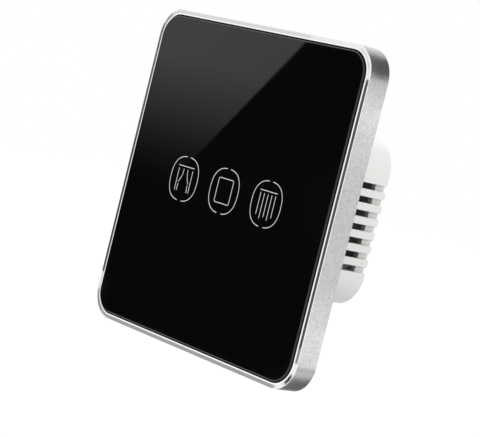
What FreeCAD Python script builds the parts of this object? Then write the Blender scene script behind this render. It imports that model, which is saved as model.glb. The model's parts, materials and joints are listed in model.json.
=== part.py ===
import FreeCAD, Part
import math
import os

# Flush curtain switch: a glass touch panel in a metal frame that snaps onto a steel plate,
# with a finned plastic box behind the plate that goes into the wall.
# Millimetres. X runs right, Y into the wall, Z up. Y = 0 is the wall's face, and the
# origin is midway between the two wall screws.

# Front panel
PANEL_WIDTH = 86.0
PANEL_DEPTH = 7.2
FRAME_BORDER = 1.5
FRAME_CORNER = 7.75
GLASS_BEVEL = 0.3
GLASS_THICKNESS = 2.0
GLASS_PROUD = 0.53
SHADOW_GAP = 0.35
ADHESIVE_THICKNESS = 0.15
ADHESIVE_MARGIN = 0.6
FRAME_WALL_GAP = 0.3
FRAME_EDGE_BREAK = 0.18
FRAME_LIP_WIDTH = 0.5
FRAME_LIP_HEIGHT = 0.1
LEDGE_WIDTH = 2.1
LEDGE_THICKNESS = 1.0
PRISE_NOTCH_WIDTH = 8.0
PRISE_NOTCH_DEPTH = 1.5

# Tray behind the glass, with its snap hooks
TRAY_CLEARANCE = 0.2
TRAY_FLANGE_THICKNESS = 1.0
TRAY_FLANGE_LAP = 0.8
TRAY_RIB_WIDTH = 1.0
TRAY_RIB_OFFSET = 14.0
HOOK_SPACING = 40.0
HOOK_WIDTH = 6.0
HOOK_THICKNESS = 1.2
HOOK_STANDOFF = 1.0
HOOK_WALL_GAP = 0.5
HOOK_BEAD = 0.5
HOOK_BEAD_HEIGHT = 0.8
SNAP_CLEARANCE = 0.05

# Steel mounting plate
PLATE_MARGIN = 0.8
PLATE_THICKNESS = 1.2
PLATE_CORNER = 5.0
PLATE_BEND_RADIUS = 0.6
TAB_WIDTH = 9.0
TAB_GAP = 0.3
TAB_RIDGE = 0.45
TAB_RIDGE_CREST = 0.3
BEND_RELIEF = 0.8
STIFFENER_LENGTH = 44.0
STIFFENER_HEIGHT = 2.6
WALL_SCREW_SPACING = 60.3
WALL_SLOT_RADIUS = 2.15
WALL_SLOT_LENGTH = 6.5

# Rear box
HOUSING_WIDTH = 52.0
HOUSING_HEIGHT = 44.0
HOUSING_DEPTH = 24.7
HOUSING_CORNER = 8.8
HOUSING_WALL = 1.8
HOUSING_EDGE_BREAK = 0.7
VENT_COUNT = 7
VENT_MARGIN = 1.71
VENT_HEIGHT = 1.62
VENT_CENTRE = -0.9
VENT_GROOVE = 1.5
VENT_START_BAR = 1.6
VENT_END_BAR = 3.2
BOSS_WIDTH = 6.0
BOSS_INSET = 5.8
BOSS_PAD = 1.0
HOUSING_SCREW_RADIUS = 1.3
HOUSING_SCREW_HEAD = 2.4
HOUSING_SCREW_HEAD_HEIGHT = 1.0
HOUSING_SCREW_LENGTH = 10.0
SCREW_PLAY = 0.02
SCREW_TIP_GAP = 0.5
DRIVE_SLOT_WIDTH = 0.6
DRIVE_SLOT_DEPTH = 0.5

# Touch keys, one behind each icon
KEY_COUNT = 3
KEY_PITCH = 17.3
KEY_CENTRE_X = 0.3
KEY_CENTRE_Z = -0.7
KEY_WELL_WIDTH = 12.2
KEY_WELL_CORNER = 1.6
BAFFLE_WALL = 0.8
BAFFLE_PEG_WIDTH = 1.2
BAFFLE_CLEARANCE = 0.5
SEAT_GAP = 0.2
SPRING_RADIUS = 3.2
SPRING_WIRE = 0.5
SPRING_TURNS = 2
LED_WIDTH = 2.8
LED_HEIGHT = 0.8

# Boards and what holds them
BOARD_THICKNESS = 1.2
BOARD_CLEARANCE = 0.3
TOUCH_BOARD_MARGIN = 0.6
TOUCH_BOARD_LAP = 1.6
POWER_BOARD_THICKNESS = 1.6
BOARD_SPACING = 7.0
BOARD_SCREW_X = 20.4
BOARD_SCREW_INSET = 1.7
BOARD_SCREW_RADIUS = 1.0
BOARD_SCREW_HEAD = 1.8
BOARD_SCREW_HEAD_HEIGHT = 1.0
BOARD_SCREW_GRIP = 6.0
BOARD_POST_WALL = 0.8
HOLE_PLAY = 0.1

# Connector between the boards
PIN_COUNT = 6
PIN_PITCH = 2.54
PIN_WIDTH = 0.64
PIN_STICKOUT = 0.8
PIN_END_GAP = 1.0
HEADER_INSET = 2.2
HEADER_WIDTH = 2.5
HEADER_HEIGHT = 2.0
SOCKET_GAP = 0.3

# Parts on the touch board
RADIO_GAP = 0.5
RADIO_Z = 1.5
RADIO_WIDTH = 16.0
RADIO_HEIGHT = 13.0
RADIO_BOARD = 0.8
SHIELD_MARGIN = 1.4
SHIELD_HEIGHT = 2.2
SHIELD_WALL = 0.3
SHIELD_EDGE = 0.25
CHIP_X = 11.0
CHIP_Z = 2.5
CHIP_WIDTH = 9.9
CHIP_HEIGHT = 3.9
CHIP_THICKNESS = 1.5
CHIP_LEG_COUNT = 8
CHIP_LEG_PITCH = 1.27
CHIP_LEG_WIDTH = 0.45
CHIP_LEG_REACH = 1.05
CHIP_LEG_THICKNESS = 0.25

# Parts on the power board
RELAY_X = 9.8
RELAY_LENGTH = 17.6
RELAY_WIDTH = 10.1
RELAY_HEIGHT = 12.3
RELAY_EDGE = 0.5
RELAY_BASE_HEIGHT = 1.0
TRANSFORMER_X = -9.3
TRANSFORMER_WIDTH = 12.0
TRANSFORMER_HEIGHT = 11.0
TRANSFORMER_BASE = 1.6
CORE_DEPTH = 5.0
CORE_LIMB = 1.5
CORE_YOKE = 2.0
COIL_DEPTH = 11.0
COIL_PLAY = 0.1
COIL_FLANGE = 0.8
COIL_FLANGE_LIP = 0.7
COIL_CORNER = 1.0
INPUT_CAPACITOR_X = 1.2
INPUT_CAPACITOR_RADIUS = 4.0
INPUT_CAPACITOR_HEIGHT = 12.5
OUTPUT_CAPACITOR_X = -18.1
OUTPUT_CAPACITOR_RADIUS = 2.5
OUTPUT_CAPACITOR_GAP = 0.2
OUTPUT_CAPACITOR_HEIGHT = 11.0
CAPACITOR_EDGE = 0.5
FILM_CAPACITOR_X = 9.0
FILM_CAPACITOR_WIDTH = 13.0
FILM_CAPACITOR_THICKNESS = 6.0
FILM_CAPACITOR_HEIGHT = 12.0
FILM_CAPACITOR_EDGE = 0.7
VARISTOR_X = 12.0
VARISTOR_RADIUS = 4.5
VARISTOR_THICKNESS = 4.0
VARISTOR_STANDOFF = 1.2
VARISTOR_LEG_SPACING = 5.0
VARISTOR_LEG_WIDTH = 0.6
FUSE_X = 19.4
FUSE_LENGTH = 7.4
FUSE_WIDTH = 4.0
FUSE_HEIGHT = 8.0
FUSE_EDGE = 0.4
RECTIFIER_X = 9.0
RECTIFIER_INSET = 3.6
RECTIFIER_WIDTH = 4.8
RECTIFIER_HEIGHT = 3.9
RECTIFIER_THICKNESS = 2.5

# Rising-clamp terminals
POLE_COUNT = 4
POLE_PITCH = 7.6
BLOCK_END_WALL = 0.4
BLOCK_DEPTH = 9.6
BLOCK_RECESS = 0.2
BLOCK_FLOOR = 0.7
BLOCK_ENTRY_WALL = 1.0
BLOCK_WEB = 0.8
BLOCK_CLEARANCE = 0.15
WIRE_GAP = 4.4
WIRE_ENTRY_WIDTH = 4.8
WIRE_WINDOW_MARGIN = 0.6
CAGE_INNER_WIDTH = 4.6
CAGE_WALL = 0.8
CAGE_NUT = 1.6
CAGE_FLOOR = 0.9
CAGE_DEPTH = 5.8
CAGE_PLAY = 0.1
CONTACT_THICKNESS = 0.9
CONTACT_WIDTH = 4.0
CONTACT_PIN_WIDTH = 1.4
CONTACT_PIN_STICKOUT = 0.6
CONTACT_CLOSED_GAP = 0.2
TERMINAL_SCREW_RADIUS = 1.5
TERMINAL_SCREW_HEAD = 2.3
TERMINAL_SCREW_HEAD_HEIGHT = 1.4
TERMINAL_SCREW_RUN = 0.05
TERMINAL_SLOT_WIDTH = 0.8
TERMINAL_SLOT_DEPTH = 0.7
HEAD_HOLE_PLAY = 0.3

SMALLEST_EDGE = 0.001
SPRING_ARCS_PER_TURN = 2
SPRING_GAP_SAMPLES = 48

# Levels along Y, front to back
GLASS_FRONT = -PANEL_DEPTH
GLASS_BACK = GLASS_FRONT + GLASS_THICKNESS
FRAME_FRONT = GLASS_FRONT + GLASS_PROUD
FRAME_BACK = -FRAME_WALL_GAP
LEDGE_FRONT = GLASS_BACK + ADHESIVE_THICKNESS
LEDGE_BACK = LEDGE_FRONT + LEDGE_THICKNESS
FLANGE_BACK = LEDGE_BACK + TRAY_FLANGE_THICKNESS
HOOK_TIP = -HOOK_WALL_GAP
TAB_TIP = LEDGE_BACK + TAB_GAP
PLATE_FRONT = -PLATE_THICKNESS
TOUCH_BOARD_FRONT = -BOARD_THICKNESS
POWER_BOARD_FRONT = BOARD_SPACING
POWER_BOARD_BACK = POWER_BOARD_FRONT + POWER_BOARD_THICKNESS
CAVITY_BACK = HOUSING_DEPTH - HOUSING_WALL
HEADER_BACK = HEADER_HEIGHT
SOCKET_FRONT = HEADER_BACK + SOCKET_GAP

# Widths and places that follow
POCKET_WIDTH = PANEL_WIDTH - 2 * FRAME_BORDER
POCKET_CORNER = FRAME_CORNER - FRAME_BORDER
GLASS_WIDTH = POCKET_WIDTH - 2 * SHADOW_GAP
GLASS_CORNER = POCKET_CORNER - SHADOW_GAP
GLASS_FACE_WIDTH = GLASS_WIDTH - 2 * GLASS_BEVEL
GLASS_FACE_CORNER = GLASS_CORNER - GLASS_BEVEL
LEDGE_OPENING = POCKET_WIDTH - 2 * LEDGE_WIDTH
LEDGE_CORNER = POCKET_CORNER - LEDGE_WIDTH
TRAY_WIDTH = LEDGE_OPENING - 2 * TRAY_CLEARANCE
TRAY_CORNER = LEDGE_CORNER - TRAY_CLEARANCE
FLANGE_WIDTH = POCKET_WIDTH - 2 * TRAY_CLEARANCE
FLANGE_CORNER = POCKET_CORNER - TRAY_CLEARANCE
FLANGE_OPENING = TRAY_WIDTH - 2 * TRAY_FLANGE_LAP
FLANGE_OPENING_CORNER = TRAY_CORNER - TRAY_FLANGE_LAP
PLATE_WIDTH = FLANGE_OPENING - 2 * PLATE_MARGIN
CAVITY_WIDTH = HOUSING_WIDTH - 2 * HOUSING_WALL
CAVITY_HEIGHT = HOUSING_HEIGHT - 2 * HOUSING_WALL
CAVITY_CORNER = HOUSING_CORNER - HOUSING_WALL
BAY_OUTER = HOUSING_WIDTH / 2 - VENT_GROOVE
BAY_INNER = BAY_OUTER - HOUSING_WALL
VENT_SPAN = HOUSING_HEIGHT - 2 * (HOUSING_CORNER + VENT_MARGIN)
VENT_PITCH = (VENT_SPAN - VENT_HEIGHT) / (VENT_COUNT - 1)
BOSS_X = HOUSING_WIDTH / 2 - BOSS_INSET
BOSS_Z = HOUSING_HEIGHT / 2 - BOSS_INSET
POST_RADIUS = BOARD_SCREW_RADIUS + BOARD_POST_WALL
TOUCH_BOARD_WIDTH = 2 * (BAY_INNER + TOUCH_BOARD_LAP)
TOUCH_BOARD_HEIGHT = 2 * (BOSS_Z - BOSS_WIDTH / 2 - TOUCH_BOARD_MARGIN)
PLATE_OPENING_WIDTH = TOUCH_BOARD_WIDTH + 2 * BOARD_CLEARANCE
PLATE_OPENING_HEIGHT = TOUCH_BOARD_HEIGHT + 2 * BOARD_CLEARANCE
POWER_BOARD_WIDTH = 2 * (BAY_INNER - BOARD_CLEARANCE)
POWER_BOARD_HEIGHT = CAVITY_HEIGHT - 2 * BOARD_CLEARANCE
BAFFLE_HEIGHT = KEY_WELL_WIDTH + 2 * BAFFLE_WALL
BAFFLE_WIDTH = (KEY_COUNT - 1) * KEY_PITCH + BAFFLE_HEIGHT
BAFFLE_FRONT = LEDGE_FRONT + SEAT_GAP
HEADER_LENGTH = PIN_COUNT * PIN_PITCH
HEADER_Z = HEADER_INSET - TOUCH_BOARD_HEIGHT / 2
BOARD_SCREW_Z = TOUCH_BOARD_HEIGHT / 2 - BOARD_SCREW_INSET
RECTIFIER_Z = TOUCH_BOARD_HEIGHT / 2 - RECTIFIER_INSET
RADIO_X = POST_RADIUS + RADIO_GAP + RADIO_WIDTH / 2 - BOARD_SCREW_X

# Terminal levels and places that follow
BLOCK_BACK = HOUSING_DEPTH - BLOCK_RECESS
BLOCK_WIDTH = POLE_COUNT * POLE_PITCH + 2 * BLOCK_END_WALL
BLOCK_LOW = BLOCK_CLEARANCE - CAVITY_HEIGHT / 2
BLOCK_HIGH = BLOCK_LOW + BLOCK_DEPTH
CHAMBER_FRONT = POWER_BOARD_BACK + BLOCK_FLOOR
CAGE_FRONT = CHAMBER_FRONT + CAGE_PLAY
WIRE_FRONT = CAGE_FRONT + CAGE_FLOOR
WIRE_LEVEL = WIRE_FRONT + WIRE_GAP / 2
CONTACT_FRONT = WIRE_FRONT + WIRE_GAP
CONTACT_BACK = CONTACT_FRONT + CONTACT_THICKNESS
SHANK_TIP = CONTACT_BACK + CAGE_PLAY
CAGE_NUT_FRONT = SHANK_TIP + TERMINAL_SCREW_RUN
CAGE_BACK = CAGE_NUT_FRONT + CAGE_NUT
CAGE_TRAVEL = WIRE_GAP - CONTACT_CLOSED_GAP
CHAMBER_BACK = CAGE_BACK + CAGE_TRAVEL + CAGE_PLAY
WEB_BACK = CHAMBER_BACK + BLOCK_WEB
HEAD_FRONT = WEB_BACK + TERMINAL_SCREW_RUN
HEAD_BACK = HEAD_FRONT + TERMINAL_SCREW_HEAD_HEIGHT
CAGE_WIDTH = CAGE_INNER_WIDTH + 2 * CAGE_WALL
CHAMBER_LOW = BLOCK_LOW + BLOCK_ENTRY_WALL
CAGE_LOW = CHAMBER_LOW + CAGE_PLAY
CAGE_HIGH = CAGE_LOW + CAGE_DEPTH
SCREW_Z = (CAGE_LOW + CAGE_HIGH) / 2
LEG_LOW = CAGE_HIGH + 2 * CAGE_PLAY
LEG_HIGH = LEG_LOW + CONTACT_THICKNESS

# The power board's parts share the height above the terminals, with equal gaps
PART_GAP = (POWER_BOARD_HEIGHT / 2 - BLOCK_HIGH - RELAY_WIDTH - 2 * INPUT_CAPACITOR_RADIUS
            - FILM_CAPACITOR_THICKNESS) / 4
RELAY_Z = BLOCK_HIGH + PART_GAP + RELAY_WIDTH / 2
RELAY_HIGH = RELAY_Z + RELAY_WIDTH / 2
INPUT_CAPACITOR_Z = RELAY_HIGH + PART_GAP + INPUT_CAPACITOR_RADIUS
FILM_CAPACITOR_Z = POWER_BOARD_HEIGHT / 2 - PART_GAP - FILM_CAPACITOR_THICKNESS / 2
TRANSFORMER_Z = POWER_BOARD_HEIGHT / 2 - PART_GAP - COIL_DEPTH / 2
OUTPUT_CAPACITOR_Z = RELAY_HIGH + OUTPUT_CAPACITOR_GAP + OUTPUT_CAPACITOR_RADIUS
FUSE_Z = (RELAY_HIGH + BOSS_Z - BOSS_WIDTH / 2 - BOSS_PAD) / 2


def vector(x, y, z):
    return FreeCAD.Vector(x, y, z)


def fuse(first, *others):
    """One solid from pieces that touch or overlap."""
    return first.fuse(list(others)).removeSplitter()


def row(count, pitch, middle=0):
    """Centres of equal pieces in a row."""
    return [middle + (index - (count - 1) / 2) * pitch for index in range(count)]


def corners(x, z):
    """Four places, mirrored left to right and top to bottom."""
    return [(side * x, end * z) for side in (-1, 1) for end in (-1, 1)]


def block(left, right, front, back, low, high):
    """Box between six limits."""
    return Part.makeBox(right - left, back - front, high - low, vector(left, front, low))


def brick(width, height, front, back, x=0, z=0):
    """Box centred on a place in the panel's plane."""
    return block(x - width / 2, x + width / 2, front, back, z - height / 2, z + height / 2)


def disc(radius, front, back, x=0, z=0):
    """Cylinder along Y."""
    return Part.makeCylinder(radius, back - front, vector(x, front, z), vector(0, 1, 0))


def prism(points, length):
    """Flat outline of points in a plane square to X, drawn out along X."""
    return Part.Face(Part.makePolygon(points + points[:1])).extrude(vector(length, 0, 0))


def outline(width, height, corner, y, x=0, z=0):
    """Rectangle with round corners, standing at depth y."""
    arcs = []
    for number in range(4):
        start, middle, end = [(number + share / 2) * math.pi / 2 for share in range(3)]
        centre_x = x + math.copysign(width / 2 - corner, math.cos(middle))
        centre_z = z + math.copysign(height / 2 - corner, math.sin(middle))
        points = [vector(centre_x + corner * math.cos(angle), y, centre_z + corner * math.sin(angle))
                  for angle in (start, middle, end)]
        arcs.append((Part.Arc(*points).toShape(), points[0], points[-1]))
    edges = []
    for (arc, _, end), (_, start, _) in zip(arcs, arcs[1:] + arcs[:1]):
        edges.append(arc)
        if end.distanceToPoint(start) > SMALLEST_EDGE:
            edges.append(Part.makeLine(end, start))
    return Part.Wire(edges)


def slab(width, height, corner, front, back, x=0, z=0):
    """Plate with round corners, its faces square to Y."""
    return Part.Face(outline(width, height, corner, front, x, z)).extrude(vector(0, back - front, 0))


def edges_at(shape, y):
    """Edges that lie wholly at depth y."""
    return [edge for edge in shape.Edges
            if all(abs(vertex.Y - y) < SMALLEST_EDGE for vertex in edge.Vertexes)]


def edges_from(shape, y):
    """Straight edges that run back from depth y."""
    return [edge for edge in shape.Edges
            if edge.BoundBox.YLength > SMALLEST_EDGE and abs(edge.BoundBox.YMin - y) < SMALLEST_EDGE]


def turned(shape, angle):
    """Copy turned about the Y axis."""
    return shape.rotated(vector(0, 0, 0), vector(0, 1, 0), angle)


def mirrored(shape):
    """Copy on the other side, left for right."""
    return shape.mirror(vector(0, 0, 0), vector(1, 0, 0))


def glass_panel():
    """Toughened glass, ground to a small bevel round both faces."""
    levels = [(GLASS_FACE_WIDTH, GLASS_FACE_CORNER, GLASS_FRONT),
              (GLASS_WIDTH, GLASS_CORNER, GLASS_FRONT + GLASS_BEVEL),
              (GLASS_WIDTH, GLASS_CORNER, GLASS_BACK - GLASS_BEVEL),
              (GLASS_FACE_WIDTH, GLASS_FACE_CORNER, GLASS_BACK)]
    wires = [outline(width, width, corner, y) for width, corner, y in levels]
    return Part.makeLoft(wires, True, True)


def glass_adhesive():
    """Thin clear sheet that bonds the glass to the ledge and the tray."""
    width = GLASS_WIDTH - 2 * ADHESIVE_MARGIN
    return slab(width, width, GLASS_CORNER - ADHESIVE_MARGIN, GLASS_BACK, LEDGE_FRONT)


def frame_lip():
    """Raised lip round the mouth of the glass pocket, sloping outwards."""
    wide = POCKET_WIDTH + 2 * FRAME_LIP_WIDTH
    near = outline(POCKET_WIDTH, POCKET_WIDTH, POCKET_CORNER, FRAME_FRONT - FRAME_LIP_HEIGHT)
    far = outline(wide, wide, POCKET_CORNER + FRAME_LIP_WIDTH, FRAME_FRONT)
    return Part.makeLoft([near, far], True, True)


def metal_frame():
    """Frame cut from solid metal: a pocket for the glass, a ledge under it, an open back."""
    ring = slab(PANEL_WIDTH, PANEL_WIDTH, FRAME_CORNER, FRAME_FRONT, FRAME_BACK)
    ring = ring.makeChamfer(FRAME_EDGE_BREAK, edges_at(ring, FRAME_FRONT))
    pocket = slab(POCKET_WIDTH, POCKET_WIDTH, POCKET_CORNER, FRAME_FRONT - FRAME_LIP_HEIGHT, LEDGE_FRONT)
    opening = slab(LEDGE_OPENING, LEDGE_OPENING, LEDGE_CORNER, LEDGE_FRONT, LEDGE_BACK)
    rear = slab(POCKET_WIDTH, POCKET_WIDTH, POCKET_CORNER, LEDGE_BACK, FRAME_BACK)
    notch = block(-PRISE_NOTCH_WIDTH / 2, PRISE_NOTCH_WIDTH / 2,
                  FRAME_BACK - PRISE_NOTCH_DEPTH, FRAME_BACK, -PANEL_WIDTH / 2, -POCKET_WIDTH / 2)
    return ring.fuse(frame_lip()).cut([pocket, opening, rear, notch])


def key_strip(clearance, front, back):
    """Long strip with round corners over the row of keys."""
    return slab(BAFFLE_WIDTH + 2 * clearance, BAFFLE_HEIGHT + 2 * clearance, KEY_WELL_CORNER,
                front, back, KEY_CENTRE_X, KEY_CENTRE_Z)


def snap_hook(x, end):
    """Springy arm with a bead, along the top (end 1) or the bottom (end -1)."""
    inner = PLATE_WIDTH / 2 + HOOK_STANDOFF
    outer = inner + HOOK_THICKNESS
    bead_back = HOOK_TIP - HOOK_BEAD
    bead_front = bead_back - HOOK_BEAD_HEIGHT
    profile = [(FLANGE_BACK, inner), (bead_front - HOOK_BEAD, inner), (bead_front, inner - HOOK_BEAD),
               (bead_back, inner - HOOK_BEAD), (HOOK_TIP, inner), (HOOK_TIP, outer), (FLANGE_BACK, outer)]
    return prism([vector(x - HOOK_WIDTH / 2, y, end * z) for y, z in profile], HOOK_WIDTH)


def tray_ribs():
    """Ribs across the back of the tray, clear of the keys and the plate's tabs."""
    reach = FLANGE_OPENING / 2
    ribs = []
    for end in (-1, 1):
        z = KEY_CENTRE_Z + end * TRAY_RIB_OFFSET
        low, high = sorted((z, end * reach))
        ribs.append(brick(2 * reach, TRAY_RIB_WIDTH, LEDGE_BACK, FLANGE_BACK, 0, z))
        ribs.append(block(-TRAY_RIB_WIDTH / 2, TRAY_RIB_WIDTH / 2, LEDGE_BACK, FLANGE_BACK, low, high))
    return ribs


def panel_tray():
    """Plastic carrier inside the frame: plate, flange, ribs and four snap hooks."""
    plate = slab(TRAY_WIDTH, TRAY_WIDTH, TRAY_CORNER, LEDGE_FRONT, LEDGE_BACK)
    flange = slab(FLANGE_WIDTH, FLANGE_WIDTH, FLANGE_CORNER, LEDGE_BACK, FLANGE_BACK)
    flange = flange.cut(slab(FLANGE_OPENING, FLANGE_OPENING, FLANGE_OPENING_CORNER,
                             LEDGE_BACK, FLANGE_BACK))
    hooks = [snap_hook(x, end) for x in row(2, HOOK_SPACING) for end in (-1, 1)]
    tray = fuse(plate, flange, *tray_ribs(), *hooks)
    return tray.cut(key_strip(BAFFLE_CLEARANCE, LEDGE_FRONT, FLANGE_BACK))


def bent_edge(x, length, tip):
    """Strip along the plate's top edge, bent forward through a right angle."""
    edge = PLATE_WIDTH / 2
    bend = PLATE_BEND_RADIUS + PLATE_THICKNESS
    diagonal = math.sqrt(1 / 2)

    def at(y, z):
        return vector(x - length / 2, y, z)

    def on_bend(radius):
        return at(radius * diagonal - bend, edge - bend + radius * diagonal)

    root_back = at(0, edge - bend)
    root_front = at(-PLATE_THICKNESS, edge - bend)
    leg_outer = at(-bend, edge)
    leg_inner = at(-bend, edge - PLATE_THICKNESS)
    tip_outer = at(tip, edge)
    tip_inner = at(tip, edge - PLATE_THICKNESS)
    edges = [Part.Arc(root_back, on_bend(bend), leg_outer).toShape(),
             Part.makeLine(leg_outer, tip_outer),
             Part.makeLine(tip_outer, tip_inner),
             Part.makeLine(tip_inner, leg_inner),
             Part.Arc(leg_inner, on_bend(PLATE_BEND_RADIUS), root_front).toShape(),
             Part.makeLine(root_front, root_back)]
    return Part.Face(Part.Wire(edges)).extrude(vector(length, 0, 0))


def bend_relief(x, length):
    """Cut that frees a bent strip from the flat of the plate."""
    edge = PLATE_WIDTH / 2
    reach = length / 2 + BEND_RELIEF
    return block(x - reach, x + reach, PLATE_FRONT, 0,
                 edge - PLATE_BEND_RADIUS - PLATE_THICKNESS, edge)


def snap_tab(x):
    """Bent tab with a sloped ridge that the hook's bead rides over."""
    edge = PLATE_WIDTH / 2
    profile = [(TAB_TIP, edge), (TAB_TIP + TAB_RIDGE, edge + TAB_RIDGE),
               (TAB_TIP + TAB_RIDGE + TAB_RIDGE_CREST, edge + TAB_RIDGE),
               (TAB_TIP + 2 * TAB_RIDGE + TAB_RIDGE_CREST, edge)]
    ridge = prism([vector(x - TAB_WIDTH / 2, y, z) for y, z in profile], TAB_WIDTH)
    return fuse(bent_edge(x, TAB_WIDTH, TAB_TIP), ridge)


def housing_screw_places():
    """Two corners of the box, opposite each other."""
    return [(-BOSS_X, -BOSS_Z), (BOSS_X, BOSS_Z)]


def plate_holes():
    """Opening for the touch board, slots for the wall screws, holes for the box screws."""
    holes = [brick(PLATE_OPENING_WIDTH, PLATE_OPENING_HEIGHT, PLATE_FRONT, 0)]
    for x in row(2, WALL_SCREW_SPACING):
        holes.append(slab(WALL_SLOT_LENGTH, 2 * WALL_SLOT_RADIUS, WALL_SLOT_RADIUS, PLATE_FRONT, 0, x))
    for x, z in housing_screw_places():
        holes.append(disc(HOUSING_SCREW_RADIUS + HOLE_PLAY, PLATE_FRONT, 0, x, z))
    return holes


def mounting_plate():
    """Pressed steel plate: bent snap tabs top and bottom, bent stiffeners at the sides."""
    flat = slab(PLATE_WIDTH, PLATE_WIDTH, PLATE_CORNER, PLATE_FRONT, 0)
    reliefs = []
    strips = []
    for angle in (0, 180):
        for x in row(2, HOOK_SPACING):
            reliefs.append(turned(bend_relief(x, TAB_WIDTH), angle))
            strips.append(turned(snap_tab(x), angle))
    for angle in (90, 270):
        reliefs.append(turned(bend_relief(0, STIFFENER_LENGTH), angle))
        strips.append(turned(bent_edge(0, STIFFENER_LENGTH, -STIFFENER_HEIGHT), angle))
    return fuse(flat.cut(reliefs + plate_holes()), *strips)


def screw(x, z, head, head_front, head_back, radius, tip):
    """Round-headed screw pointing back, with a cross recess."""
    body = fuse(disc(head, head_front, head_back, x, z), disc(radius, head_back, tip, x, z))
    recess = head_front + DRIVE_SLOT_DEPTH
    return body.cut([brick(head, DRIVE_SLOT_WIDTH, head_front, recess, x, z),
                     brick(DRIVE_SLOT_WIDTH, head, head_front, recess, x, z)])


def housing_screws():
    """Two screws that hold the box to the plate."""
    return Part.makeCompound([
        screw(x, z, HOUSING_SCREW_HEAD, PLATE_FRONT - HOUSING_SCREW_HEAD_HEIGHT, PLATE_FRONT,
              HOUSING_SCREW_RADIUS, PLATE_FRONT + HOUSING_SCREW_LENGTH)
        for x, z in housing_screw_places()])


def board_screw_places():
    """The other two corners of the boards."""
    return [(-BOARD_SCREW_X, BOARD_SCREW_Z), (BOARD_SCREW_X, -BOARD_SCREW_Z)]


def vent_cuts():
    """Grooves down both sides of the box, each with a slot through its floor."""
    cuts = []
    for z in row(VENT_COUNT, VENT_PITCH, VENT_CENTRE):
        low, high = z - VENT_HEIGHT / 2, z + VENT_HEIGHT / 2
        groove = block(BAY_OUTER, HOUSING_WIDTH / 2, 0, HOUSING_DEPTH, low, high)
        slot = block(BAY_INNER, BAY_OUTER, VENT_START_BAR, HOUSING_DEPTH - VENT_END_BAR, low, high)
        cuts += [groove, slot, mirrored(groove), mirrored(slot)]
    return cuts


def vent_walls():
    """Thickening of the side walls behind the vent grooves."""
    reach = VENT_SPAN / 2 + HOUSING_WALL
    wall = block(BAY_INNER, CAVITY_WIDTH / 2, 0, CAVITY_BACK, VENT_CENTRE - reach, VENT_CENTRE + reach)
    return [wall, mirrored(wall)]


def corner_post(x, z, inset, front):
    """Square post that fills a corner of the cavity, from its inner sides out to the walls."""
    left, right = sorted((x - math.copysign(BOSS_WIDTH / 2 + inset, x), math.copysign(CAVITY_WIDTH / 2, x)))
    low, high = sorted((z - math.copysign(BOSS_WIDTH / 2 + inset, z), math.copysign(CAVITY_HEIGHT / 2, z)))
    return block(left, right, front, CAVITY_BACK, low, high)


def board_supports():
    """Corner posts with pads under the power board, and two round posts for its screws."""
    supports = []
    for x, z in corners(BOSS_X, BOSS_Z):
        supports.append(corner_post(x, z, 0, 0))
        supports.append(corner_post(x, z, BOSS_PAD, POWER_BOARD_BACK))
    for x, z in board_screw_places():
        supports.append(disc(POST_RADIUS, POWER_BOARD_BACK, CAVITY_BACK, x, z))
    return supports


def housing_holes():
    """Screw pilots, the terminal opening in the back and the wire window below it."""
    holes = []
    for x, z in housing_screw_places():
        holes.append(disc(HOUSING_SCREW_RADIUS + SCREW_PLAY, 0,
                          HOUSING_SCREW_LENGTH + SCREW_TIP_GAP, x, z))
    for x, z in board_screw_places():
        holes.append(disc(BOARD_SCREW_RADIUS + SCREW_PLAY, POWER_BOARD_BACK,
                          POWER_BOARD_BACK + BOARD_SCREW_GRIP + SCREW_TIP_GAP, x, z))
    holes.append(brick(BLOCK_WIDTH + 2 * BLOCK_CLEARANCE, BLOCK_DEPTH + 2 * BLOCK_CLEARANCE,
                       CAVITY_BACK, HOUSING_DEPTH, 0, BLOCK_LOW + BLOCK_DEPTH / 2))
    width = (POLE_COUNT - 1) * POLE_PITCH + WIRE_ENTRY_WIDTH + 2 * WIRE_WINDOW_MARGIN
    reach = WIRE_GAP / 2 + WIRE_WINDOW_MARGIN
    holes.append(block(-width / 2, width / 2, WIRE_LEVEL - reach, WIRE_LEVEL + reach,
                       -HOUSING_HEIGHT / 2, BLOCK_LOW))
    return holes


def rear_housing():
    """Moulded box with a bevelled back edge and finned vents on both sides."""
    body = slab(HOUSING_WIDTH, HOUSING_HEIGHT, HOUSING_CORNER, 0, HOUSING_DEPTH)
    body = body.makeChamfer(HOUSING_EDGE_BREAK, edges_at(body, HOUSING_DEPTH))
    cavity = slab(CAVITY_WIDTH, CAVITY_HEIGHT, CAVITY_CORNER, 0, CAVITY_BACK)
    inner = [piece.common(body) for piece in vent_walls() + board_supports()]
    shell = fuse(body.cut(cavity), *inner)
    return shell.cut(vent_cuts() + housing_holes())


def pin_prisms(front, back):
    """One square prism for each connector pin."""
    return [brick(PIN_WIDTH, PIN_WIDTH, front, back, x, HEADER_Z) for x in row(PIN_COUNT, PIN_PITCH)]


def board_screw_holes(front, back):
    return [disc(BOARD_SCREW_RADIUS + HOLE_PLAY, front, back, x, z) for x, z in board_screw_places()]


def baffle_pegs(clearance, front, back):
    """Square pegs between the keys that locate the baffle on its board."""
    width = BAFFLE_PEG_WIDTH + 2 * clearance
    return [brick(width, width, front, back, x, KEY_CENTRE_Z)
            for x in row(KEY_COUNT - 1, KEY_PITCH, KEY_CENTRE_X)]


def touch_board():
    """Front circuit board, resting on the rim of the box inside the plate's opening."""
    board = brick(TOUCH_BOARD_WIDTH, TOUCH_BOARD_HEIGHT, TOUCH_BOARD_FRONT, 0)
    return board.cut(board_screw_holes(TOUCH_BOARD_FRONT, 0) + pin_prisms(TOUCH_BOARD_FRONT, 0)
                     + baffle_pegs(HOLE_PLAY, TOUCH_BOARD_FRONT, 0))


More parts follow.
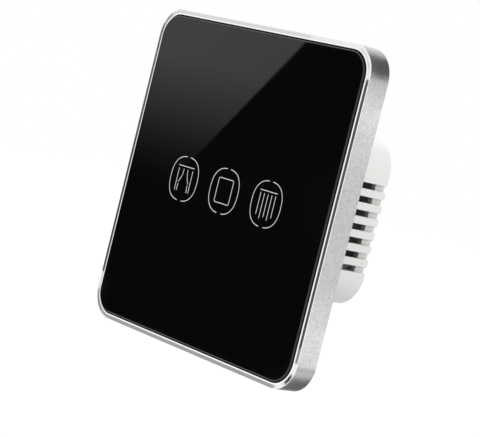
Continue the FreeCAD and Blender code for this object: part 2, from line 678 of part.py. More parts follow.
def light_baffle():
    """Moulded strip with one well for each key, which keeps their light apart."""
    strip = key_strip(0, BAFFLE_FRONT, TOUCH_BOARD_FRONT)
    wells = [slab(KEY_WELL_WIDTH, KEY_WELL_WIDTH, KEY_WELL_CORNER, BAFFLE_FRONT, TOUCH_BOARD_FRONT,
                  x, KEY_CENTRE_Z) for x in row(KEY_COUNT, KEY_PITCH, KEY_CENTRE_X)]
    return fuse(strip.cut(wells), *baffle_pegs(0, TOUCH_BOARD_FRONT, 0))


def status_leds():
    """One light for each key, on the touch board."""
    return Part.makeCompound([
        brick(LED_WIDTH, LED_WIDTH, TOUCH_BOARD_FRONT - LED_HEIGHT, TOUCH_BOARD_FRONT, x, KEY_CENTRE_Z)
        for x in row(KEY_COUNT, KEY_PITCH, KEY_CENTRE_X)])


def helix_place(x, turn):
    """Point and direction on a key spring's centre line after a number of turns."""
    foot = TOUCH_BOARD_FRONT - SPRING_WIRE / 2
    top = LEDGE_FRONT + SNAP_CLEARANCE + SPRING_WIRE * math.sqrt(1 / 2)
    rise = (foot - top) / SPRING_TURNS
    angle = 2 * math.pi * turn
    out = vector(math.cos(angle), 0, math.sin(angle))
    way = vector(-math.sin(angle), -rise / (2 * math.pi * SPRING_RADIUS), math.cos(angle))
    return vector(x, foot - rise * turn, KEY_CENTRE_Z) + out * SPRING_RADIUS, way.normalize()


def corner_arc(start, corner, end):
    """Arc that leaves start towards the corner and comes into end from it."""
    middle = (start + end) / 2
    slope = math.atan2(corner.distanceToPoint(middle), start.distanceToPoint(end) / 2)
    bulge = (corner - middle) * (math.tan(slope / 2) / math.tan(slope))
    return Part.Arc(start, middle + bulge, end).toShape()


def biarc(start, start_way, end, end_way):
    """Two arcs from start to end that keep both directions and meet smoothly."""
    across = end - start
    ways = start_way + end_way
    slope = across.dot(ways)
    curve = 4 - ways.dot(ways)
    reach = (math.sqrt(slope ** 2 + curve * across.dot(across)) - slope) / curve
    first, second = start + start_way * reach, end - end_way * reach
    joint = (first + second) / 2
    return [corner_arc(start, first, joint), corner_arc(joint, second, end)]


def key_spring(x):
    """Touch spring: one unbroken square wire wound from the board up to the glass."""
    count = SPRING_TURNS * SPRING_ARCS_PER_TURN
    places = [helix_place(x, step / SPRING_ARCS_PER_TURN) for step in range(count + 1)]
    edges = []
    for (start, start_way), (end, end_way) in zip(places, places[1:]):
        edges += biarc(start, start_way, end, end_way)
    point, way = places[0]
    half = SPRING_WIRE / 2
    out = vector(half, 0, 0)
    up = way.cross(out)
    section = [point + out + up, point + out - up, point - out - up, point - out + up]
    return Part.Wire(edges).makePipeShell([Part.makePolygon(section + section[:1])], True, False)


def spring_gap():
    """Least gap between neighbouring turns of a key spring, measured on points."""
    points = [helix_place(0, step / SPRING_GAP_SAMPLES)[0]
              for step in range(SPRING_TURNS * SPRING_GAP_SAMPLES + 1)]
    apart = [low.distanceToPoint(high) for index, low in enumerate(points)
             for high in points[index + SPRING_GAP_SAMPLES // 2:]]
    return min(apart) - SPRING_WIRE


def touch_springs():
    return Part.makeCompound([key_spring(x) for x in row(KEY_COUNT, KEY_PITCH, KEY_CENTRE_X)])


def touch_controller():
    """Touch chip on the back of the touch board, with legs along both long sides."""
    body = brick(CHIP_WIDTH, CHIP_HEIGHT, CHIP_LEG_THICKNESS, CHIP_THICKNESS, CHIP_X, CHIP_Z)
    legs = [brick(CHIP_LEG_WIDTH, CHIP_HEIGHT + 2 * CHIP_LEG_REACH, 0, CHIP_LEG_THICKNESS, x, CHIP_Z)
            for x in row(CHIP_LEG_COUNT, CHIP_LEG_PITCH, CHIP_X)]
    return fuse(body, *legs)


def radio_module():
    """Small radio board soldered to the back of the touch board."""
    return brick(RADIO_WIDTH, RADIO_HEIGHT, 0, RADIO_BOARD, RADIO_X, RADIO_Z)


def bevelled_case(width, height, edge, front, back, x, z):
    """Box whose sides and back are bevelled, standing on a board."""
    case = brick(width, height, front, back, x, z)
    return case.makeChamfer(edge, edges_at(case, back) + edges_from(case, front))


def radio_shield():
    """Pressed metal can over the radio's parts, open at its foot."""
    width = RADIO_WIDTH - 2 * SHIELD_MARGIN
    height = RADIO_HEIGHT - 2 * SHIELD_MARGIN
    top = RADIO_BOARD + SHIELD_HEIGHT
    can = bevelled_case(width, height, SHIELD_EDGE, RADIO_BOARD, top, RADIO_X, RADIO_Z)
    return can.cut(brick(width - 2 * SHIELD_WALL, height - 2 * SHIELD_WALL,
                         RADIO_BOARD, top - SHIELD_WALL, RADIO_X, RADIO_Z))


def pin_header():
    """Plastic strip that holds the pins behind the touch board."""
    return brick(HEADER_LENGTH, HEADER_WIDTH, 0, HEADER_BACK, 0, HEADER_Z).cut(pin_prisms(0, HEADER_BACK))


def header_pins():
    """Square pins, soldered at the front and plugged into the socket."""
    return Part.makeCompound(pin_prisms(TOUCH_BOARD_FRONT - PIN_STICKOUT,
                                        POWER_BOARD_FRONT - PIN_END_GAP))


def pin_socket():
    """Socket strip on the front of the power board."""
    strip = brick(HEADER_LENGTH, HEADER_WIDTH, SOCKET_FRONT, POWER_BOARD_FRONT, 0, HEADER_Z)
    return strip.cut(pin_prisms(SOCKET_FRONT, POWER_BOARD_FRONT - PIN_END_GAP + SEAT_GAP))


def board_spacer(x, z):
    """Six-sided sleeve on a board screw."""
    points = [vector(x + POST_RADIUS * math.cos(number * math.pi / 3), 0,
                     z + POST_RADIUS * math.sin(number * math.pi / 3)) for number in range(7)]
    sleeve = Part.Face(Part.makePolygon(points)).extrude(vector(0, POWER_BOARD_FRONT, 0))
    return sleeve.cut(disc(BOARD_SCREW_RADIUS + HOLE_PLAY, 0, POWER_BOARD_FRONT, x, z))


def board_spacers():
    return Part.makeCompound([board_spacer(x, z) for x, z in board_screw_places()])


def board_screws():
    """Two long screws through both boards into the posts of the box."""
    return Part.makeCompound([
        screw(x, z, BOARD_SCREW_HEAD, TOUCH_BOARD_FRONT - BOARD_SCREW_HEAD_HEIGHT, TOUCH_BOARD_FRONT,
              BOARD_SCREW_RADIUS, POWER_BOARD_BACK + BOARD_SCREW_GRIP)
        for x, z in board_screw_places()])


def power_board():
    """Rear circuit board on the pads of the box, notched round the screw bosses."""
    board = brick(POWER_BOARD_WIDTH, POWER_BOARD_HEIGHT, POWER_BOARD_FRONT, POWER_BOARD_BACK)
    cuts = board_screw_holes(POWER_BOARD_FRONT, POWER_BOARD_BACK)
    inset = BOSS_WIDTH / 2 + BOARD_CLEARANCE
    for x, z in corners(BOSS_X, BOSS_Z):
        left, right = sorted((x - math.copysign(inset, x), math.copysign(POWER_BOARD_WIDTH / 2, x)))
        low, high = sorted((z - math.copysign(inset, z), math.copysign(POWER_BOARD_HEIGHT / 2, z)))
        cuts.append(block(left, right, POWER_BOARD_FRONT, POWER_BOARD_BACK, low, high))
    for x in row(POLE_COUNT, POLE_PITCH):
        cuts.append(contact_pin(x, POWER_BOARD_FRONT))
    return board.cut(cuts)


def relay(x):
    """Sealed relay: a bevelled cover on a slightly smaller base."""
    seam = POWER_BOARD_BACK + RELAY_BASE_HEIGHT
    cover = bevelled_case(RELAY_LENGTH, RELAY_WIDTH, RELAY_EDGE, seam,
                          POWER_BOARD_BACK + RELAY_HEIGHT, x, RELAY_Z)
    base = brick(RELAY_LENGTH - 2 * RELAY_EDGE, RELAY_WIDTH - 2 * RELAY_EDGE,
                 POWER_BOARD_BACK, seam, x, RELAY_Z)
    return fuse(cover, base)


def relay_open():
    """Relay that drives the curtain open."""
    return relay(-RELAY_X)


def relay_close():
    """Relay that drives the curtain closed."""
    return relay(RELAY_X)


def transformer_core():
    """Ferrite core: a closed frame with a centre limb inside the coil."""
    front = POWER_BOARD_BACK + TRANSFORMER_BASE
    back = front + TRANSFORMER_HEIGHT
    window = TRANSFORMER_WIDTH / 2 - 2 * CORE_LIMB
    offset = CORE_LIMB + window / 2
    frame = brick(TRANSFORMER_WIDTH, CORE_DEPTH, front, back, TRANSFORMER_X, TRANSFORMER_Z)
    return frame.cut([
        brick(window, CORE_DEPTH, front + CORE_YOKE, back - CORE_YOKE, x, TRANSFORMER_Z)
        for x in (TRANSFORMER_X - offset, TRANSFORMER_X + offset)])


def coil_layer(inset, front, back):
    """Block of the coil with bevelled corners, drawn in from the flanges' outline."""
    width = TRANSFORMER_WIDTH - 2 * (CORE_LIMB + COIL_PLAY) - 2 * inset
    layer = brick(width, COIL_DEPTH - 2 * inset, front, back, TRANSFORMER_X, TRANSFORMER_Z)
    return layer.makeChamfer(COIL_CORNER, edges_from(layer, front))


def transformer_coil():
    """Bobbin and winding round the centre limb, between two flanges."""
    front = POWER_BOARD_BACK + TRANSFORMER_BASE + CORE_YOKE + COIL_PLAY
    back = front + TRANSFORMER_HEIGHT - 2 * (CORE_YOKE + COIL_PLAY)
    coil = fuse(coil_layer(COIL_FLANGE_LIP, front, back), coil_layer(0, front, front + COIL_FLANGE),
                coil_layer(0, back - COIL_FLANGE, back))
    return coil.cut(brick(2 * (CORE_LIMB + COIL_PLAY), CORE_DEPTH + 2 * COIL_PLAY,
                          front, back, TRANSFORMER_X, TRANSFORMER_Z))


def transformer_base():
    """Foot that carries the core on the power board."""
    return brick(TRANSFORMER_WIDTH, COIL_DEPTH, POWER_BOARD_BACK,
                 POWER_BOARD_BACK + TRANSFORMER_BASE, TRANSFORMER_X, TRANSFORMER_Z)


def can_capacitor(radius, height, x, z):
    """Electrolytic capacitor with a bevelled top edge."""
    back = POWER_BOARD_BACK + height
    can = disc(radius, POWER_BOARD_BACK, back, x, z)
    return can.makeChamfer(CAPACITOR_EDGE, edges_at(can, back))


def input_capacitor():
    return can_capacitor(INPUT_CAPACITOR_RADIUS, INPUT_CAPACITOR_HEIGHT,
                         INPUT_CAPACITOR_X, INPUT_CAPACITOR_Z)


def output_capacitor():
    return can_capacitor(OUTPUT_CAPACITOR_RADIUS, OUTPUT_CAPACITOR_HEIGHT,
                         OUTPUT_CAPACITOR_X, OUTPUT_CAPACITOR_Z)


def film_capacitor():
    return bevelled_case(FILM_CAPACITOR_WIDTH, FILM_CAPACITOR_THICKNESS, FILM_CAPACITOR_EDGE,
                         POWER_BOARD_BACK, POWER_BOARD_BACK + FILM_CAPACITOR_HEIGHT,
                         FILM_CAPACITOR_X, FILM_CAPACITOR_Z)


def board_fuse():
    return bevelled_case(FUSE_WIDTH, FUSE_LENGTH, FUSE_EDGE, POWER_BOARD_BACK,
                         POWER_BOARD_BACK + FUSE_HEIGHT, FUSE_X, FUSE_Z)


def varistor():
    """Round surge absorber standing on its two legs."""
    middle = POWER_BOARD_BACK + VARISTOR_STANDOFF + VARISTOR_RADIUS
    coin = Part.makeCylinder(VARISTOR_RADIUS, VARISTOR_THICKNESS,
                             vector(VARISTOR_X, middle, INPUT_CAPACITOR_Z - VARISTOR_THICKNESS / 2),
                             vector(0, 0, 1))
    legs = [brick(VARISTOR_LEG_WIDTH, VARISTOR_LEG_WIDTH, POWER_BOARD_BACK, middle, x, INPUT_CAPACITOR_Z)
            for x in row(2, VARISTOR_LEG_SPACING, VARISTOR_X)]
    return fuse(coin, *legs)


def bridge_rectifier():
    """Flat rectifier on the front of the power board."""
    return brick(RECTIFIER_WIDTH, RECTIFIER_HEIGHT, POWER_BOARD_FRONT - RECTIFIER_THICKNESS,
                 POWER_BOARD_FRONT, RECTIFIER_X, RECTIFIER_Z)


def terminal_cuts(x):
    """Everything cut from the terminal block for one pole."""
    cage_reach = CAGE_WIDTH / 2 + CAGE_PLAY
    leg_reach = CONTACT_WIDTH / 2 + CAGE_PLAY
    entry_reach = WIRE_ENTRY_WIDTH / 2
    chamber = block(x - cage_reach, x + cage_reach, CHAMBER_FRONT, CHAMBER_BACK,
                    CHAMBER_LOW, CAGE_HIGH + CAGE_PLAY)
    leg = block(x - leg_reach, x + leg_reach, POWER_BOARD_BACK, CONTACT_BACK + CAGE_PLAY,
                CAGE_HIGH, LEG_HIGH + CAGE_PLAY)
    shank = disc(TERMINAL_SCREW_RADIUS + TERMINAL_SCREW_RUN, CHAMBER_BACK, WEB_BACK, x, SCREW_Z)
    head = disc(TERMINAL_SCREW_HEAD + HEAD_HOLE_PLAY, WEB_BACK, BLOCK_BACK, x, SCREW_Z)
    entry = block(x - entry_reach, x + entry_reach, WIRE_FRONT, CONTACT_FRONT, BLOCK_LOW, CHAMBER_LOW)
    return [chamber, leg, shank, head, entry]


def terminal_block():
    """Moulded block with a chamber, a screw hole and a wire entry for each pole."""
    body = block(-BLOCK_WIDTH / 2, BLOCK_WIDTH / 2, POWER_BOARD_BACK, BLOCK_BACK, BLOCK_LOW, BLOCK_HIGH)
    cuts = []
    for x in row(POLE_COUNT, POLE_PITCH):
        cuts += terminal_cuts(x)
    return body.cut(cuts)


def contact_pin(x, front):
    """Solder pin of a contact, through the power board."""
    return block(x - CONTACT_PIN_WIDTH / 2, x + CONTACT_PIN_WIDTH / 2,
                 front, POWER_BOARD_BACK, LEG_LOW, LEG_HIGH)


def terminal_contact(x):
    """Fixed bar through the cage, with a leg down to the power board."""
    reach = CONTACT_WIDTH / 2
    bar = block(x - reach, x + reach, CONTACT_FRONT, CONTACT_BACK, CHAMBER_LOW, LEG_HIGH)
    leg = block(x - reach, x + reach, POWER_BOARD_BACK, CONTACT_FRONT, LEG_LOW, LEG_HIGH)
    return fuse(bar, leg, contact_pin(x, POWER_BOARD_FRONT - CONTACT_PIN_STICKOUT))


def terminal_contacts():
    return Part.makeCompound([terminal_contact(x) for x in row(POLE_COUNT, POLE_PITCH)])


def terminal_cage(x):
    """Rising clamp: a metal frame whose thick end is the nut."""
    frame = block(x - CAGE_WIDTH / 2, x + CAGE_WIDTH / 2, CAGE_FRONT, CAGE_BACK, CAGE_LOW, CAGE_HIGH)
    window = block(x - CAGE_INNER_WIDTH / 2, x + CAGE_INNER_WIDTH / 2, WIRE_FRONT, CAGE_NUT_FRONT,
                   CAGE_LOW, CAGE_HIGH)
    thread = disc(TERMINAL_SCREW_RADIUS + TERMINAL_SCREW_RUN, CAGE_NUT_FRONT, CAGE_BACK, x, SCREW_Z)
    return frame.cut([window, thread])


def terminal_screw(x):
    """Captive clamp screw: it turns in place and draws the cage up its shank."""
    head = disc(TERMINAL_SCREW_HEAD, HEAD_FRONT, HEAD_BACK, x, SCREW_Z)
    shank = disc(TERMINAL_SCREW_RADIUS, SHANK_TIP, HEAD_FRONT, x, SCREW_Z)
    slot = brick(2 * TERMINAL_SCREW_HEAD, TERMINAL_SLOT_WIDTH, HEAD_BACK - TERMINAL_SLOT_DEPTH,
                 HEAD_BACK, x, SCREW_Z)
    return fuse(head, shank).cut(slot)


SINGLE_PIECES = [glass_panel, glass_adhesive, metal_frame, panel_tray, mounting_plate,
                 housing_screws, rear_housing, touch_board, light_baffle, status_leds,
                 touch_springs, touch_controller, radio_module, radio_shield, pin_header,
                 header_pins, pin_socket, board_spacers, board_screws, power_board, relay_open,
                 relay_close, transformer_core, transformer_coil, transformer_base,
                 input_capacitor, output_capacitor, film_capacitor, board_fuse, varistor,
                 bridge_rectifier, terminal_block, terminal_contacts]


def all_pieces():
    """Every node's name with its shape."""
    pieces = {piece.__name__: piece() for piece in SINGLE_PIECES}
    for number, x in enumerate(row(POLE_COUNT, POLE_PITCH), start=1):
        pieces[f"terminal_cage_{number}"] = terminal_cage(x)
        pieces[f"terminal_screw_{number}"] = terminal_screw(x)
    return pieces


os.makedirs("parts", exist_ok=True)
for name, shape in all_pieces().items():
    shape.exportStep(f"parts/{name}.step")
print("least gap between turns of a key spring:", round(spring_gap(), 3))
print("travel of a terminal clamp:", round(CAGE_TRAVEL, 3))
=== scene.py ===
import json
import math

import bmesh
import bpy
from mathutils import Matrix, Vector

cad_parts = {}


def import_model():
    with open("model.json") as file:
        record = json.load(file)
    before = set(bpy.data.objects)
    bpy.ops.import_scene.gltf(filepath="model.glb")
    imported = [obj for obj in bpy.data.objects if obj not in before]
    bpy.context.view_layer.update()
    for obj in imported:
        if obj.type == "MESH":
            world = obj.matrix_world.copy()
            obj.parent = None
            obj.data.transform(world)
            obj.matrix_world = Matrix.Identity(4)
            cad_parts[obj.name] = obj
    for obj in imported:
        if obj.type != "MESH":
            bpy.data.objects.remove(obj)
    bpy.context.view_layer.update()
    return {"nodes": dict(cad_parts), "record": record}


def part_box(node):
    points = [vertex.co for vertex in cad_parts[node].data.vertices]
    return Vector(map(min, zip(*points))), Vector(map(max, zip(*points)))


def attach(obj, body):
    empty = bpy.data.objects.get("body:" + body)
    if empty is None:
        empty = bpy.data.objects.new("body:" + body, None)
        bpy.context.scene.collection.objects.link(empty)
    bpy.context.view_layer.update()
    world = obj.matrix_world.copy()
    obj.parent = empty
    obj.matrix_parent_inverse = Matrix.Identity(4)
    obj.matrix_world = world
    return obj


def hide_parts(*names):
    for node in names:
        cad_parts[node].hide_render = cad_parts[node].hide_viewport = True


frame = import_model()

# Flush curtain switch: black touch glass in a metal frame, with the finned box behind it.
# Metres, in the frame of the solids: X right, Y into the wall, Z up.
MM = 0.001

# Corners of the pieces that others are placed by
GLASS_LOW, GLASS_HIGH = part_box("glass_panel")
FRAME_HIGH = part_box("metal_frame")[1]
TRAY_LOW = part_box("panel_tray")[0]
BAFFLE_LOW, BAFFLE_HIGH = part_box("light_baffle")
BOARD_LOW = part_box("touch_board")[0]
LIGHTS_LOW, LIGHTS_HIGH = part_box("status_leds")
SPRINGS_LOW, SPRINGS_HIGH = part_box("touch_springs")
PINS_LOW, PINS_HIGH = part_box("header_pins")

# Glass, frame and keys
CORNER_STEPS = 20
GLASS_CORNER = 5.9 * MM
GLASS_BEVEL = 0.3 * MM
GLASS_BEVEL_STEPS = 4
PRINT_DEPTH = 0.012 * MM
FRAME_CORNER = 7.75 * MM
FRAME_BORDER = 1.5 * MM
FRAME_OUTER_BEVEL = 0.13 * MM
FRAME_LIP_WIDTH = 0.42 * MM
FRAME_LIP_HEIGHT = 0.1 * MM
FRAME_BACK_BREAK = 0.12 * MM
EDGE_STEPS = 3
LIP_EDGE = 0.06 * MM
FRAME_FACE = -6.67 * MM
GLASS_WIDTH = GLASS_HIGH.x - GLASS_LOW.x
FRAME_MIDDLE = (FRAME_FACE + FRAME_HIGH.y) / 2
FRAME_STRAIGHT = FRAME_HIGH.x - FRAME_CORNER
LEDGE_WIDTH = 2.1 * MM
LEDGE_BACK = -4.05 * MM
NOTCH_HALF_WIDTH = 4.0 * MM
NOTCH_DEPTH = 1.5 * MM
NOTCH_WALL = 0.02 * MM
KEY_COUNT = 3
KEY_PITCH = 17.3 * MM
KEY_X = (BAFFLE_LOW.x + BAFFLE_HIGH.x) / 2
KEY_Z = (LIGHTS_LOW.z + LIGHTS_HIGH.z) / 2
PIN_COUNT = 6
PIN_PITCH = 2.54 * MM
PINS_X = (PINS_LOW.x + PINS_HIGH.x) / 2
PINS_Z = (PINS_LOW.z + PINS_HIGH.z) / 2
QUARTERS = 4
CORNER_SIGNS = ((1, 1), (-1, 1), (-1, -1), (1, -1))

# Camera of the photograph, found from the edges of the glass and the frame
CAMERA_PLACE = Vector((0.37921, -0.31579, 0.02249))
CAMERA_RIGHT = Vector((0.61089, 0.75399, 0.24149))
CAMERA_BACK = Vector((0.76635, -0.63973, 0.05879))
CAMERA_LENS = 143.67
CAMERA_SENSOR = 36.0
CAMERA_RANGE = (0.01, 50.0)


def row(count, pitch, middle):
    """Centres of equal things in a row."""
    return [middle + (index - (count - 1) / 2) * pitch for index in range(count)]


def key_places():
    """Centres of the touch keys from left to right."""
    return row(KEY_COUNT, KEY_PITCH, KEY_X)


def linked(name, data):
    """New object of the scene, made of a mesh, curve, lamp or camera."""
    made = bpy.data.objects.new(name, data)
    bpy.context.scene.collection.objects.link(made)
    return made


# Materials: the effects that several share

def add(tree, kind, inputs=(), **settings):
    """New node, its settings made and its sockets given values or links."""
    made = tree.nodes.new(kind)
    for key, value in settings.items():
        setattr(made, key, value)
    for socket, value in dict(inputs).items():
        if isinstance(value, bpy.types.NodeSocket):
            tree.links.new(value, made.inputs[socket])
        else:
            made.inputs[socket].default_value = value
    return made


def effect(name, inputs, outputs):
    """Empty node group with named number sockets, and its two end nodes."""
    tree = bpy.data.node_groups.new(name, "ShaderNodeTree")
    for socket, value in inputs.items():
        made = tree.interface.new_socket(name=socket, in_out="INPUT", socket_type="NodeSocketFloat")
        made.default_value = value
    for socket in outputs:
        tree.interface.new_socket(name=socket, in_out="OUTPUT", socket_type="NodeSocketFloat")
    return tree, tree.nodes.new("NodeGroupInput").outputs, tree.nodes.new("NodeGroupOutput").inputs


def grain_effect():
    """Fine even texture of a moulded or blasted surface, with slow changes of tone."""
    tree, given, result = effect("Grain", {"Size": 0.2 * MM, "Patch": 8 * MM}, ("Height", "Tone", "Patch"))
    place = add(tree, "ShaderNodeTexCoord").outputs["Object"]
    fine = add(tree, "ShaderNodeMath", {0: 1.0, 1: given["Size"]}, operation="DIVIDE").outputs[0]
    slow = add(tree, "ShaderNodeMath", {0: 1.0, 1: given["Patch"]}, operation="DIVIDE").outputs[0]
    speck = add(tree, "ShaderNodeTexNoise", {"Vector": place, "Scale": fine, "Detail": 2.0,
                                             "Roughness": 0.6}).outputs["Fac"]
    cloud = add(tree, "ShaderNodeTexNoise", {"Vector": place, "Scale": slow, "Detail": 3.0}).outputs["Fac"]
    tree.links.new(speck, result["Height"])
    tone = add(tree, "ShaderNodeMapRange", {"Value": speck, "From Min": 0.3, "From Max": 0.7})
    tree.links.new(tone.outputs[0], result["Tone"])
    patch = add(tree, "ShaderNodeMapRange", {"Value": cloud, "From Min": 0.3, "From Max": 0.7})
    tree.links.new(patch.outputs[0], result["Patch"])
    return tree


def edge_effect():
    """Mask that is 1 along convex and concave edges, broken up by a little noise."""
    tree, given, result = effect("Edge wear", {"Width": 0.2 * MM, "Breakup": 1.0 * MM}, ("Mask",))
    flat = add(tree, "ShaderNodeNewGeometry").outputs["Normal"]
    round_normal = add(tree, "ShaderNodeBevel", {"Radius": given["Width"]}, samples=4).outputs["Normal"]
    same = add(tree, "ShaderNodeVectorMath", {0: flat, 1: round_normal}, operation="DOT_PRODUCT")
    bend = add(tree, "ShaderNodeMapRange", {"Value": same.outputs["Value"], "From Min": 0.998,
                                            "From Max": 0.85})
    place = add(tree, "ShaderNodeTexCoord").outputs["Object"]
    scale = add(tree, "ShaderNodeMath", {0: 1.0, 1: given["Breakup"]}, operation="DIVIDE").outputs[0]
    noise = add(tree, "ShaderNodeTexNoise", {"Vector": place, "Scale": scale, "Detail": 3.0})
    broken = add(tree, "ShaderNodeMapRange", {"Value": noise.outputs["Fac"], "From Min": 0.35,
                                              "From Max": 0.6})
    mask = add(tree, "ShaderNodeMath", {0: bend.outputs[0], 1: broken.outputs[0]}, operation="MULTIPLY")
    tree.links.new(mask.outputs[0], result["Mask"])
    return tree


def recess_shade_effect():
    """Mask that is 1 deep in recesses, where colour is darkened as painted shade."""
    tree, given, result = effect("Painted recess shade", {"Reach": 2 * MM}, ("Mask",))
    open_share = add(tree, "ShaderNodeAmbientOcclusion", {"Distance": given["Reach"]}, samples=4)
    mask = add(tree, "ShaderNodeMapRange", {"Value": open_share.outputs["AO"], "From Min": 0.25,
                                            "From Max": 0.12})
    tree.links.new(mask.outputs[0], result["Mask"])
    return tree


def rolled_effect():
    """Lines of a rolled or machined surface, running along one axis of the object."""
    tree, given, result = effect("Rolled", {"Pitch": 0.1 * MM, "Stretch": 30.0}, ("Height", "Tone"))
    place = add(tree, "ShaderNodeTexCoord").outputs["Object"]
    fine = add(tree, "ShaderNodeMath", {0: 1.0, 1: given["Pitch"]}, operation="DIVIDE").outputs[0]
    slow = add(tree, "ShaderNodeMath", {0: fine, 1: given["Stretch"]}, operation="DIVIDE").outputs[0]
    scale = add(tree, "ShaderNodeCombineXYZ", {"X": slow, "Y": fine, "Z": fine}).outputs[0]
    lines = add(tree, "ShaderNodeVectorMath", {0: place, 1: scale}, operation="MULTIPLY").outputs[0]
    noise = add(tree, "ShaderNodeTexNoise", {"Vector": lines, "Scale": 1.0, "Detail": 2.0})
    tree.links.new(noise.outputs["Fac"], result["Height"])
    tone = add(tree, "ShaderNodeMapRange", {"Value": noise.outputs["Fac"], "From Min": 0.3,
                                            "From Max": 0.7})
    tree.links.new(tone.outputs[0], result["Tone"])
    return tree


GRAIN = grain_effect()
EDGE = edge_effect()
RECESS_SHADE = recess_shade_effect()
ROLLED = rolled_effect()


def placed(tree, group, **inputs):
    """An effect placed in a material with its own values."""
    made = add(tree, "ShaderNodeGroup", node_tree=group)
    for socket, value in inputs.items():
        made.inputs[socket].default_value = value
    return made.outputs


def mixed(tree, share, first, second):
    """Colour between two colours, by a mask."""
    made = add(tree, "ShaderNodeMix", data_type="RGBA")
    for socket, value in ((made.inputs[0], share), (made.inputs[6], first), (made.inputs[7], second)):
        if isinstance(value, bpy.types.NodeSocket):
            tree.links.new(value, socket)
        else:
            socket.default_value = (*value, 1.0) if isinstance(value, tuple) else value
    return made.outputs[2]


def scaled(tree, mask, low, high):
    """Number that goes from low to high as a mask goes from 0 to 1."""
    return add(tree, "ShaderNodeMapRange", {"Value": mask, "To Min": low, "To Max": high}).outputs[0]


def shaded(colour, change):
    """The same colour, lighter or darker."""
    return tuple(min(1.0, channel * change) for channel in colour)


def bumped(tree, height, distance, strength):
    """Normal that follows a height."""
    return add(tree, "ShaderNodeBump", {"Height": height, "Distance": distance,
                                        "Strength": strength}).outputs["Normal"]


def blank(name, **constants):
    """Material with a Principled shader, its constant numbers set on its own sockets."""
    made = bpy.data.materials.new(name)
    made.use_nodes = True
    shader = made.node_tree.nodes["Principled BSDF"]
    for socket, value in constants.items():
        shader.inputs[socket.replace("_", " ")].default_value = value
    return made, made.node_tree, shader.inputs


def moulded(name, colour, roughness=0.45, size=0.25 * MM, depth=0.004 * MM, wear=1.15, recess_shade=0.75,
            reach=1.5 * MM, cloud=0.035, **constants):
    """Moulded plastic: fine spark texture, lighter edges, recesses darkened as painted shade."""
    made, tree, into = blank(name, **constants)
    grain = placed(tree, GRAIN, Size=size, Patch=9 * MM)
    edge = placed(tree, EDGE, Width=0.15 * MM, Breakup=1.2 * MM)
    recess = placed(tree, RECESS_SHADE, Reach=reach)
    tone = mixed(tree, grain["Patch"], shaded(colour, 1 - cloud), shaded(colour, 1 + cloud))
    tone = mixed(tree, edge["Mask"], tone, shaded(colour, wear))
    # Painted shade: the colour darkens deep in recesses, by the occlusion mask
    tone = mixed(tree, recess["Mask"], tone, shaded(colour, recess_shade))
    tree.links.new(tone, into["Base Color"])
    tree.links.new(scaled(tree, grain["Patch"], roughness - 0.04, roughness + 0.05), into["Roughness"])
    tree.links.new(bumped(tree, grain["Height"], depth, 0.5), into["Normal"])
    return made


def metal(name, colour, roughness=0.3, size=0.12 * MM, depth=0.003 * MM, wear=1.1, speck=0.06, **constants):
    """Bare or plated metal: speckled tone and gloss, brighter along its edges."""
    made, tree, into = blank(name, Metallic=1.0, **constants)
    grain = placed(tree, GRAIN, Size=size, Patch=6 * MM)
    edge = placed(tree, EDGE, Width=0.12 * MM, Breakup=0.8 * MM)
    tone = mixed(tree, grain["Tone"], shaded(colour, 1 - speck), shaded(colour, 1 + speck))
    tone = mixed(tree, edge["Mask"], tone, shaded(colour, wear))
    tree.links.new(tone, into["Base Color"])
    tree.links.new(scaled(tree, grain["Patch"], roughness * 0.88, roughness * 1.15), into["Roughness"])
    tree.links.new(bumped(tree, grain["Height"], depth, 0.5), into["Normal"])
    return made


def rolled_metal(name, colour, roughness, pitch, stretch, depth=0.002 * MM):
    """Metal with the fine lines of rolling or of a cutting tool."""
    made, tree, into = blank(name, Metallic=1.0)
    lines = placed(tree, ROLLED, Pitch=pitch, Stretch=stretch)
    edge = placed(tree, EDGE, Width=0.12 * MM, Breakup=0.8 * MM)
    tone = mixed(tree, lines["Tone"], shaded(colour, 0.95), shaded(colour, 1.04))
    tone = mixed(tree, edge["Mask"], tone, shaded(colour, 1.12))
    tree.links.new(tone, into["Base Color"])
    tree.links.new(scaled(tree, lines["Tone"], roughness * 0.85, roughness * 1.2), into["Roughness"])
    tree.links.new(bumped(tree, lines["Height"], depth, 0.4), into["Normal"])
    return made


def back_printed_glass():
    """Clear glass over a black print: deep black, with faint wipe marks in its gloss."""
    made, tree, into = blank("Back-printed black glass", IOR=1.5)
    wipe = placed(tree, GRAIN, Size=1.5 * MM, Patch=25 * MM)
    tree.links.new(mixed(tree, wipe["Patch"], (0.0031, 0.0031, 0.0033), (0.0040, 0.0040, 0.0042)),
                   into["Base Color"])
    tree.links.new(scaled(tree, wipe["Patch"], 0.012, 0.03), into["Roughness"])
    return made


def ground_glass():
    """Ground and polished bevel round the glass."""
    made, tree, into = blank("Ground glass edge", IOR=1.5)
    grain = placed(tree, GRAIN, Size=0.08 * MM, Patch=5 * MM)
    tree.links.new(mixed(tree, grain["Tone"], (0.008, 0.009, 0.009), (0.016, 0.018, 0.017)),
                   into["Base Color"])
    tree.links.new(scaled(tree, grain["Patch"], 0.12, 0.18), into["Roughness"])
    tree.links.new(bumped(tree, grain["Height"], 0.004 * MM, 0.5), into["Normal"])
    return made


def icon_print():
    """Translucent white print of the icons, with a faint painted glow of its own."""
    made, tree, into = blank("Icon print with painted glow", Emission_Strength=0.25)
    grain = placed(tree, GRAIN, Size=0.15 * MM, Patch=2 * MM)
    tone = mixed(tree, grain["Tone"], (0.78, 0.79, 0.80), (0.90, 0.91, 0.92))
    tree.links.new(tone, into["Base Color"])
    # Painted glow: the print gives off light of its own
    tree.links.new(tone, into["Emission Color"])
    tree.links.new(scaled(tree, grain["Patch"], 0.25, 0.35), into["Roughness"])
    return made


BOARD_PATTERN = (420, 420, 420)


